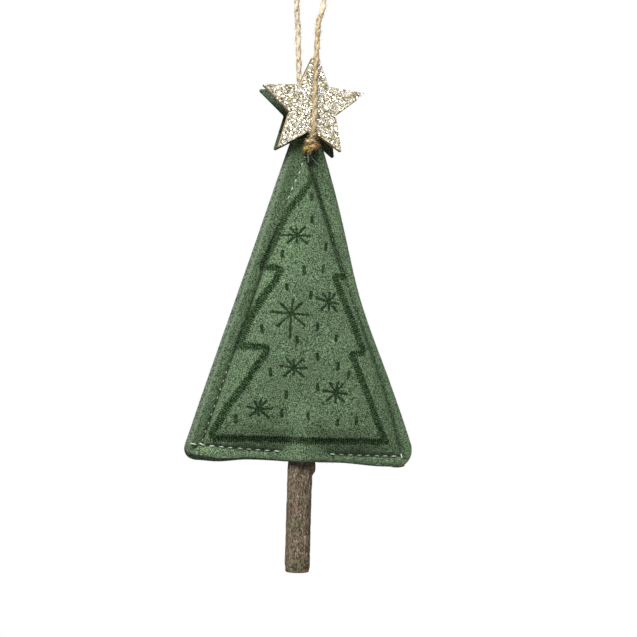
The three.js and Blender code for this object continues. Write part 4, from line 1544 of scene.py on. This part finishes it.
def sew(name, side, line, lift, radius):
    outer = outer_points(line, side)
    outer[:, 1] += side * lift
    return run_tree(path_piece(name, outer), stitch_row, sewing_thread,
                    Thread_Radius=radius, Outward=(0.0, float(side), 0.0))


stretches = {
    "left": seam_stretch((0, 0.5), (1, 0.985)),
    "bottom": np.vstack([PAST_THE_CORNER, seam_stretch((2, 0.005), (2, mouth_edge(-MOUTH_LEFT)))]),
    "right": np.vstack([
        seam_stretch((2, mouth_edge(MOUTH_RIGHT)), (3, 0.9975)), seam_stretch((0, 0), (0, 0.1))
    ]),
}
threads = {}
for stretch, line in stretches.items():
    lift = np.interp(line[:, 1], *THREAD_LIFTS[stretch])
    for side, face in ((-1, "front"), (1, "back")):
        name = f"stitches_{stretch}_{face}"
        threads[f"seam_{stretch}_{face}"] = sew(name, side, line, lift, THREAD_RADIUS[stretch])

# %% [markdown]
# The thread was cut with its end left on. It lies below the knot, with one fibre of it astray. The
# ply winder that made the twine makes it too, with plies a tenth of a millimetre thick.

# %% The loose end of the thread
LOOSE_END = np.array([(-0.9, -2.7), (-0.8, -3.3), (-0.62, -3.9), (-0.45, -4.6), (-0.35, -5.5)])
STRAY_FIBRE = np.array([(-0.1, -3.5), (0.9, -4.4), (2.1, -5.6), (3.2, -6.5)])


def loose_thread(name, plan, lift, radius):
    """A thread that starts at a height over the felt and comes down to it."""
    line = outer_points(plan, -1)
    line[:, 1] -= 0.2 + lift * np.linspace(1, 0, len(line))
    return run_tree(path_piece(name, through_points(line, 6)), ply_winder, sewing_thread,
                    Ply_Radius=radius, Ply_Offset=radius, Turn_Length=0.0016, Unevenness=0.1)


loose_end = loose_thread("loose_end", LOOSE_END, 1.5, 0.00018)
stray_fibre = loose_thread("stray_fibre", STRAY_FIBRE, 1.2, 0.00006)

# %% [markdown]
# ## The stars
#
# In front sits a star cut from thin tan board, with glitter glued to its face. Behind the tree is
# a smaller star of the same green felt, painted darker as the shade behind the board. The board and
# the layer of glue under the glitter are the imported model's own solids with better materials. The
# flakes are Geometry Nodes again: thin hexagons, scattered by a seed, each tilted a little its own
# way, so that some catch the light and some stay dark. Each flake carries a random number that picks
# its colour, from near white to near black, so that glints and dark flakes are painted in as well.

# %% Materials: cut board, glitter ground and flakes
# partly the glitter's cream, gold and olive tints, partly painted glints and painted dark flakes
FLAKE_COLOURS_AND_GLINTS = {
    0.0: rgba(0.96, 0.94, 0.87),
    0.46: rgba(0.76, 0.71, 0.54),
    0.58: rgba(0.4, 0.34, 0.19),
    0.7: rgba(0.18, 0.14, 0.06),
    0.85: rgba(0.05, 0.038, 0.018),
}


def cell_tones(m, place, scale):
    """A random tone for each cell of a Voronoi pattern."""
    cells = m.add("ShaderNodeTexVoronoi", {"Vector": place, "Scale": scale})
    return m.add("ShaderNodeSeparateColor", {0: cells["Color"]})[0]


def make_board():
    m = Material("tan_board", Roughness=0.75, Specular_IOR_Level=0.3)
    grain = m.noise(m.mapped(m.place, Scale=(250, 2600, 250)), 1.0, 3.0)
    colour = m.mix(m.step(grain, 0.35, 0.65), rgba(0.46, 0.28, 0.11), rgba(0.78, 0.56, 0.3))
    scorch = m.step(m.noise(m.place, 700.0), 0.55, 0.72) * 0.45
    return m.finish(m.mix(scorch, colour, rgba(0.26, 0.13, 0.045)), grain, 0.0001, 0.6)


def make_glitter_ground():
    m = Material("glitter_ground", Roughness=0.45, Specular_IOR_Level=0.5, Coat_Weight=0.3)
    tone = cell_tones(m, m.place, 2100.0)
    return m.finish(m.mix(tone, rgba(0.14, 0.1, 0.035), rgba(0.58, 0.52, 0.33)), tone, 0.00012, 0.7)


def make_flakes():
    m = Material("glitter_flake", Metallic=0.7, Roughness=0.32)
    picked = m.add("ShaderNodeValToRGB", {0: m.attribute("flake")})
    ramp = picked.node.color_ramp
    ramp.interpolation = "CONSTANT"
    for _ in range(len(FLAKE_COLOURS_AND_GLINTS) - len(ramp.elements)):
        ramp.elements.new(0.5)
    for stop, (position, colour) in zip(ramp.elements, FLAKE_COLOURS_AND_GLINTS.items()):
        stop.position, stop.color = position, colour
    return m.finish(picked[0])


tan_board, glitter_ground, glitter_flake = make_board(), make_glitter_ground(), make_flakes()

# %% The felt star
STAR_TURN = -2.2
FELT_STAR = dict(centre_height=13.0, tip=19.3, notch=8.7)
# corners that the hand cutting moved
FELT_STAR_TRIMS = {0: (0.5, 0.3), 1: (0.5, -0.3), 6: (-0.6, -1.1)}
FELT_STAR_SHIFT = np.array([-0.6, 0])
FELT_STAR_FACES = (2.25, 3.75)
FELT_STAR_ROUND = 0.6
FELT_STAR_SOFT = 0.3
OUTLINE_STEP = 0.45
FACE_SHARES = np.array([0.02, 0.07, 0.15, 0.27, 0.4, 0.55, 0.7, 0.85])
STAR_CUT_ROWS = 8


def star_corners(centre_height, tip, notch):
    """Ten corners of a five-pointed star, first the top tip, then round by the left."""
    angles = np.radians(90 + STAR_TURN + 36 * np.arange(10))
    reach = np.where(np.arange(10) % 2, notch, tip)
    return np.stack([reach * np.cos(angles), centre_height + reach * np.sin(angles)], 1)


def rounded_loop(corners, radius):
    """A closed outline with each corner turned into an arc."""
    line = []
    for k in range(len(corners)):
        centre, begin, end, _ = corner_circle(corners, k, radius)
        for share in np.linspace(0, 1, 7):
            line.append(centre + unit(begin * (1 - share) + end * share - centre) * radius)
    closed = np.array(line + line[:1])
    return spread(closed, round(run_along(closed)[-1] / OUTLINE_STEP))


def make_felt_star():
    corners = star_corners(**FELT_STAR)
    for k, trim in FELT_STAR_TRIMS.items():
        corners[k] += trim
    edge = rounded_loop(corners, FELT_STAR_ROUND) + FELT_STAR_SHIFT
    inward = inward_of(edge)
    middle = np.array([0, FELT_STAR["centre_height"]]) + FELT_STAR_SHIFT
    front, back = FELT_STAR_FACES
    rings = []
    for share in 1 - FACE_SHARES[::-1]:
        at = middle + (edge - middle) * share
        rings.append(np.insert(at, 1, front + 0.06 * lumps(at, 1.3, 2.0), axis=1))
    for t in np.linspace(0, 1, STAR_CUT_ROWS):
        fuzz = 0.07 * lumps(edge + 40 * t, 0.5, 3.0)
        at = edge + inward * np.maximum(FELT_STAR_SOFT * abs(2 * t - 1) ** 4 + fuzz, 0)[:, None]
        rings.append(np.insert(at, 1, front + (back - front) * t, axis=1))
    for share in 1 - FACE_SHARES:
        at = middle + (edge - middle) * share
        rings.append(np.insert(at, 1, back - 0.06 * np.abs(lumps(at, 1.3, 4.0)), axis=1))
    points, faces = capped_rings(np.array(rings), np.insert([middle, middle], 1, [front, back], axis=1))
    cut = np.zeros(len(points))
    first = len(FACE_SHARES) - 1
    cut[first * len(edge) : (first + STAR_CUT_ROWS + 1) * len(edge)] = 1
    return mesh_piece("felt_star", points, faces, star_felt, cut=cut)


felt_star = make_felt_star()

# %% Geometry Nodes: glitter flakes


def make_flake_scatter():
    g = Geometry("flake_scatter", Per_Area=8.0e6, Flake_Size=0.00024, Tilt=0.45, Seed=SEED)
    spots = g.scatter()
    inputs = {"Vertices": 6, "Radius": 1.0, "Depth": 0.12}
    hexagon = g.geo("MeshCylinder", inputs, fill_type="NGON")
    lean, tip = (g.start["Tilt"] * g.random(-1.0, 1.0, seed) for seed in (11, 12))
    turn = g.xyz(lean, tip, g.random(0.0, 3.2, 13))
    size = g.start["Flake Size"] * g.random(0.75, 1.15, 14)
    placed = g.place(spots["Points"], hexagon, spots["Rotation"], turn, size)
    return g.dress(g.store(placed, "flake", g.random(0.0, 1.0, 15), domain="INSTANCE"))


flake_scatter = make_flake_scatter()

# %% Flakes on the star's face
BOARD_STAR = dict(centre_height=13.8, tip=18.9, notch=8.6)
GLITTER_FACE = -5.5
FLAKE_LIFT = 0.04
FLAKE_MARGIN = 0.985


def star_face(name):
    """An open face of the star, that flakes are scattered on."""
    middle = np.array([0, BOARD_STAR["centre_height"]])
    corners = middle + (star_corners(**BOARD_STAR) - middle) * FLAKE_MARGIN
    points = np.insert(np.vstack([middle, corners]), 1, GLITTER_FACE - FLAKE_LIFT, axis=1)
    return plain_piece(name, points, faces=[(0, k + 1, (k + 1) % 10 + 1) for k in range(10)])


flakes = run_tree(star_face("glitter_flakes"), flake_scatter, glitter_flake, Seed=SEED)

# %% [markdown]
# ## The twig
#
# The trunk is a piece of twig with its bark on, sawn off at the foot and cut with a knife where a
# side branch left it near the top. A turned cylinder would look like a dowel, so the twig's radius
# follows the part's own uneven rule, and long shallow ridges of bark are laid over it. The bark
# material has the same long grain, with lichen, scars and bare wood at the cuts.

# %% Material: bark and sawn wood


def make_bark():
    m = Material("bark", Roughness=0.9, Specular_IOR_Level=0.2)
    long_grain = m.mapped(m.place, Scale=(3300, 3300, 900))
    grain, fine = m.noise(long_grain, 1.3, 4.0), m.noise(long_grain, 0.8)
    flecks = cell_tones(m, m.mapped(m.place, Scale=(3800, 3800, 1500)), 1.0)
    ridge, patches = m.attribute("ridge"), m.noise(m.place, 150.0)
    colour = m.mix(m.step(grain, 0.33, 0.68), rgba(0.042, 0.029, 0.018), rgba(0.31, 0.235, 0.158))
    for share, tint in (
        (m.step(fine, 0.5, 0.66) * 0.75, rgba(0.43, 0.36, 0.265)),  # pale threads of bark
        (ridge * 0.3, rgba(0.36, 0.3, 0.22)),  # worn ridges
        (m.step(ridge, 0.0, -0.8) * 0.4, rgba(0.045, 0.033, 0.024)),  # grooves
        (m.step(patches, 0.54, 0.66) * 0.6, rgba(0.165, 0.17, 0.085)),  # lichen
        (m.step(patches, 0.42, 0.32) * 0.45, rgba(0.24, 0.14, 0.1)),  # reddish patches
    ):
        colour = m.mix(share, colour, tint)
    wood = m.mix(m.step(grain, 0.3, 0.7), rgba(0.27, 0.145, 0.075), rgba(0.44, 0.27, 0.15))
    colour = m.mix(m.attribute("bare"), colour, wood)
    tone = (flecks * 1.2 + 0.42) * drift_of(m, 0.008, 0.09)
    return m.finish(m.scale(colour, tone), grain + flecks * 0.5, 0.0003, 0.9)


bark = make_bark()

# %% Shape of the twig
TRUNK_FOOT = -148.5
TRUNK_TOP = -94.5
STUB_HEIGHT = -112.0
STUB_REACH = 1.15
STUB_SPREAD = (3.0, 2.4, 2.2)  # around the twig, above and below the stub
BARK_DEPTH = 0.13
SAWN_DEPTH = 0.22
CAP_SCALES = np.array([0.12, 0.35, 0.6, 0.85])


def bark_ridges(turn, height):
    """Long ridges and grooves, between -1 and 1, that run along the twig."""
    values = []
    for a, h in zip(turn.ravel(), height.ravel()):
        x, y = math.cos(a) * 4.6, math.sin(a) * 4.6
        long_one = noise.noise((x * 1.4, y * 1.4, h * 0.25))
        short_one = noise.noise((x * 3.1 + 9, y * 3.1, h * 0.7 + 5))
        values.append(1.5 * long_one + 0.9 * short_one)
    return np.clip(np.array(values).reshape(turn.shape), -1, 1)


def twig_wall(columns, rows):
    """Rings of points up the twig, its bark's ridges, and where its wood is bare."""
    turns = np.linspace(0, 2 * math.pi, columns, endpoint=False)
    turn, height = np.meshgrid(turns, np.linspace(TRUNK_FOOT, TRUNK_TOP, rows))
    share = (height - TRUNK_FOOT) / (TRUNK_TOP - TRUNK_FOOT)
    bends = 0.02 * np.cos(3 * turn + 2 * share) + 0.012 * np.cos(5 * turn - 7 * share)
    radius = TRUNK_RADIUS * (1 + bends)
    ridges = bark_ridges(turn, height)

    # the stub of the side branch, cut off flat
    near_turn = (turn + math.pi) % (2 * math.pi) - math.pi
    around, above, below = STUB_SPREAD
    off = (height - STUB_HEIGHT) / np.where(height > STUB_HEIGHT, above, below)
    stub = np.exp(-(((near_turn * TRUNK_RADIUS / around) ** 2 + off**2) ** 1.6))
    radius = radius + BARK_DEPTH * ridges * (1 - stub) + STUB_REACH * 1.25 * stub
    flat = TRUNK_RADIUS + STUB_REACH * 0.8
    cut_face = (radius * np.cos(near_turn) > flat) & (stub > 0.3)
    radius = np.where(cut_face, flat / np.cos(near_turn), radius)

    # the saw took a ragged ring of bark off the foot
    ragged = TRUNK_FOOT + 1.3 + 0.5 * np.sin(5 * turn) + 0.3 * np.sin(11 * turn + 2)
    foot = smooth_share(ragged, height - 0.35, height + 0.35)
    radius = radius - SAWN_DEPTH * foot
    corners = smooth_share(np.abs(np.cos(turn + 0.2)), 0.66, 0.88)
    bare = np.maximum(np.maximum(cut_face, 0.55 * stub), foot * (0.12 + 0.75 * corners))
    return np.stack([radius * np.cos(turn), radius * np.sin(turn), height], 2), ridges, bare


def make_twig(columns, rows):
    wall, ridges, bare = twig_wall(columns, rows)
    caps = np.stack([CAP_SCALES, CAP_SCALES, np.ones(4)], 1)[:, None]
    rings = np.vstack([wall[0] * caps, wall, wall[-1] * caps[::-1]])
    points, faces = capped_rings(rings, [(0, 0, TRUNK_FOOT), (0, 0, TRUNK_TOP)])
    sawn = np.ones(4 * columns)
    bare = np.concatenate([sawn, bare.ravel(), sawn, (1, 1)])
    ridge = np.concatenate([0 * sawn, ridges.ravel(), 0 * sawn, (0, 0)])
    return mesh_piece("twig", points, faces, bark, bare=bare, ridge=ridge)


twig = make_twig(150, 216)

# %% [markdown]
# ## Wadding and glue
#
# The wadding is hardly seen, only in the open mouth beside the twig, but it is there. It starts
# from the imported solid, which is merged and remeshed into an even skin. That skin is pushed in
# here and there, never out, so the loose fill stays inside the felt. Beads of set hot glue hold
# the twig and the stars; they keep their solids and get a waxy, slightly see-through material.

# %% Materials: wadding and glue


def make_wadding_finish():
    m = Material("fill", Roughness=1.0, Sheen_Weight=0.3, Sheen_Roughness=0.6, Specular_IOR_Level=0.1)
    mat = fibres_of(m, 0.0009, 7.0)
    colour = m.mix(m.step(mat["Mottle"], 0.6, 0.3), rgba(0.86, 0.84, 0.79), rgba(0.6, 0.58, 0.53))
    colour = m.mix(m.step(mat["Fibres"], 0.4, 1.0), colour, rgba(0.93, 0.92, 0.88))
    return m.finish(colour, mat["Height"], 0.0005, 0.8)


def make_glue_finish():
    m = Material("set_glue", Roughness=0.28, Specular_IOR_Level=0.5, Subsurface_Weight=0.35,
                 Subsurface_Scale=0.002)
    haze = m.noise(m.place, 420.0, 3.0)
    colour = m.mix(m.step(haze, 0.35, 0.65), rgba(0.72, 0.62, 0.42), rgba(0.86, 0.8, 0.66))
    return m.finish(colour, haze, 0.0004, 0.5)


fill, set_glue = make_wadding_finish(), make_glue_finish()

# %% The wadding's skin
CLEAR_OF_FELT = 0.4
VOXEL = 0.0009
SAME_PLACE = 0.00002
DENTS = ((0.006, 1.0), (0.002, 0.35))  # size in metres, depth in millimetres


def make_wadding():
    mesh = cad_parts["wadding"].data.copy()
    piece = new_piece("wadding_fill", mesh)
    edit(mesh, lambda form: bmesh.ops.remove_doubles(form, verts=form.verts, dist=SAME_PLACE))
    mesh.materials.clear()
    remesh = piece.modifiers.new("even", "REMESH")
    remesh.mode, remesh.voxel_size = "VOXEL", VOXEL
    even = bake(piece, remesh).data
    for point in even.vertices:
        dent = sum(depth * max(0.0, noise.noise(point.co / size)) for size, depth in DENTS)
        point.co -= point.normal * dent * MM
        x, y, z = (np.array(point.co) - HOLE) / MM
        front, back = (float(inner_y(np.array([x, z]), side)) - CLEAR_OF_FELT * side for side in (-1, 1))
        point.co.y = MM * (min(max(y, front), back) if front < back else (front + back) / 2)
    even.materials.append(fill)
    even.shade_smooth()
    return piece


wadding_fill = make_wadding()

# %% [markdown]
# ## Bodies and slots
#
# Every new piece says which moving body carries it, which imported solid it stands for and which
# material slot of the record it is finished in.

# %% Materials on the solids that stay
CARRIED = {
    "star_board": tan_board,
    "star_glitter": glitter_ground,
    "star_glue_front": set_glue,
    "star_glue_back": set_glue,
    "trunk_glue": set_glue,
}
for node, material in CARRIED.items():
    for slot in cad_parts[node].material_slots:
        slot.material = material
print("solids kept:", sorted(CARRIED))

# %% What each piece rides on and replaces
PIECES = [
    (twine_loop, "hanger", "twine", ["twine_loop"]),
    (knot, "hanger", "twine", ["twine_knot"]),
    (knot_tail, "hanger", "twine", []),
    (twine_hairs, "hanger", "twine", []),
    (knot_hairs, "hanger", "twine", []),
    (front_felt, "ornament", "tree_felt", ["front_panel"]),
    (back_felt, "ornament", "tree_felt", ["back_panel"]),
    (front_fibres, "ornament", "tree_felt", []),
    (back_fibres, "ornament", "tree_felt", []),
    (felt_star, "ornament", "star_felt", ["star_felt"]),
    (flakes, "ornament", "glitter", []),
    (twig, "ornament", "twig", ["trunk"]),
    (wadding_fill, "ornament", "wadding", ["wadding"]),
]
PIECES += [(piece, "ornament", "seam_thread", [node]) for node, piece in threads.items()]
PIECES += [(piece, "ornament", "seam_thread", []) for piece in (loose_end, stray_fibre)]
for piece, body, slot, nodes in PIECES:
    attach(piece, body)
    if nodes:
        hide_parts(*nodes)

print("pieces:", len(PIECES))

# %% [markdown]
# ## Stage and light
#
# The photograph has a plain white background. A pale floor lies below the ornament, out of the
# camera's view, so that other views have something to stand over. The world is white only where
# the camera or a mirror looks at it and dimmer as a lamp, and one large soft lamp from the upper
# left of the front gives the form its shading.

# %% Floor
FLOOR_HEIGHT = -0.36


def make_floor():
    m = Material("pale_floor", Roughness=0.8)
    seen = m.add("ShaderNodeLightPath")["Is Camera Ray"]
    material = m.finish(m.mix(seen, rgba(0.18, 0.18, 0.18), rgba(0.86, 0.86, 0.85)))
    mesh = bpy.data.meshes.new("floor")
    below = Matrix.Translation((0, 0, FLOOR_HEIGHT))
    edit(mesh, lambda form: bmesh.ops.create_circle(
        form, cap_ends=True, segments=64, radius=0.6, matrix=below
    ))
    mesh.materials.append(material)
    floor = new_piece("floor", mesh)
    floor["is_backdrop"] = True


make_floor()

# %% World and lamps
WORLD_LIGHT = 0.18
# place, size and power of each lamp
LAMPS = {"key": ((-0.17, -0.4, 0.48), 0.35, 9.4), "back": ((0.35, 0.75, 0.2), 0.6, 3.5)}
LAMP_AIM = Vector((0, 0, -0.12))


def make_world():
    world = bpy.data.worlds.new("studio")
    bpy.context.scene.world = world
    world.use_nodes = True
    w = Nodes(world.node_tree)
    rays = w.add("ShaderNodeLightPath")
    mirrored = w.calc("MAXIMUM", rays["Is Glossy Ray"], rays["Is Transmission Ray"])
    seen = w.calc("MAXIMUM", rays["Is Camera Ray"], mirrored)
    background = w.tree.nodes["Background"].inputs
    w.feed(background["Color"], rgba(1, 1, 1))
    w.feed(background["Strength"], seen * (1 - WORLD_LIGHT) + WORLD_LIGHT)


def add_lamp(name, place, size, power):
    lamp = bpy.data.lights.new(name, "AREA")
    lamp.shape, lamp.size, lamp.energy = "SQUARE", size, power
    holder = bpy.data.objects.new(name, lamp)
    facing = (LAMP_AIM - Vector(place)).to_track_quat("-Z", "Y")
    holder.matrix_world = Matrix.Translation(place) @ facing.to_matrix().to_4x4()
    bpy.context.collection.objects.link(holder)


make_world()
for name, (place, size, power) in LAMPS.items():
    add_lamp(name, place, size, power)
bpy.context.scene.view_settings.view_transform = "Standard"
print("lamps:", sorted(LAMPS))

# %% Sizes and finish
visual_box = [list(corner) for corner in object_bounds()]
for name, box in (("CAD", cad_box), ("visual", visual_box)):
    print(name, "box in mm:", [[round(v / MM, 1) for v in corner] for corner in box])
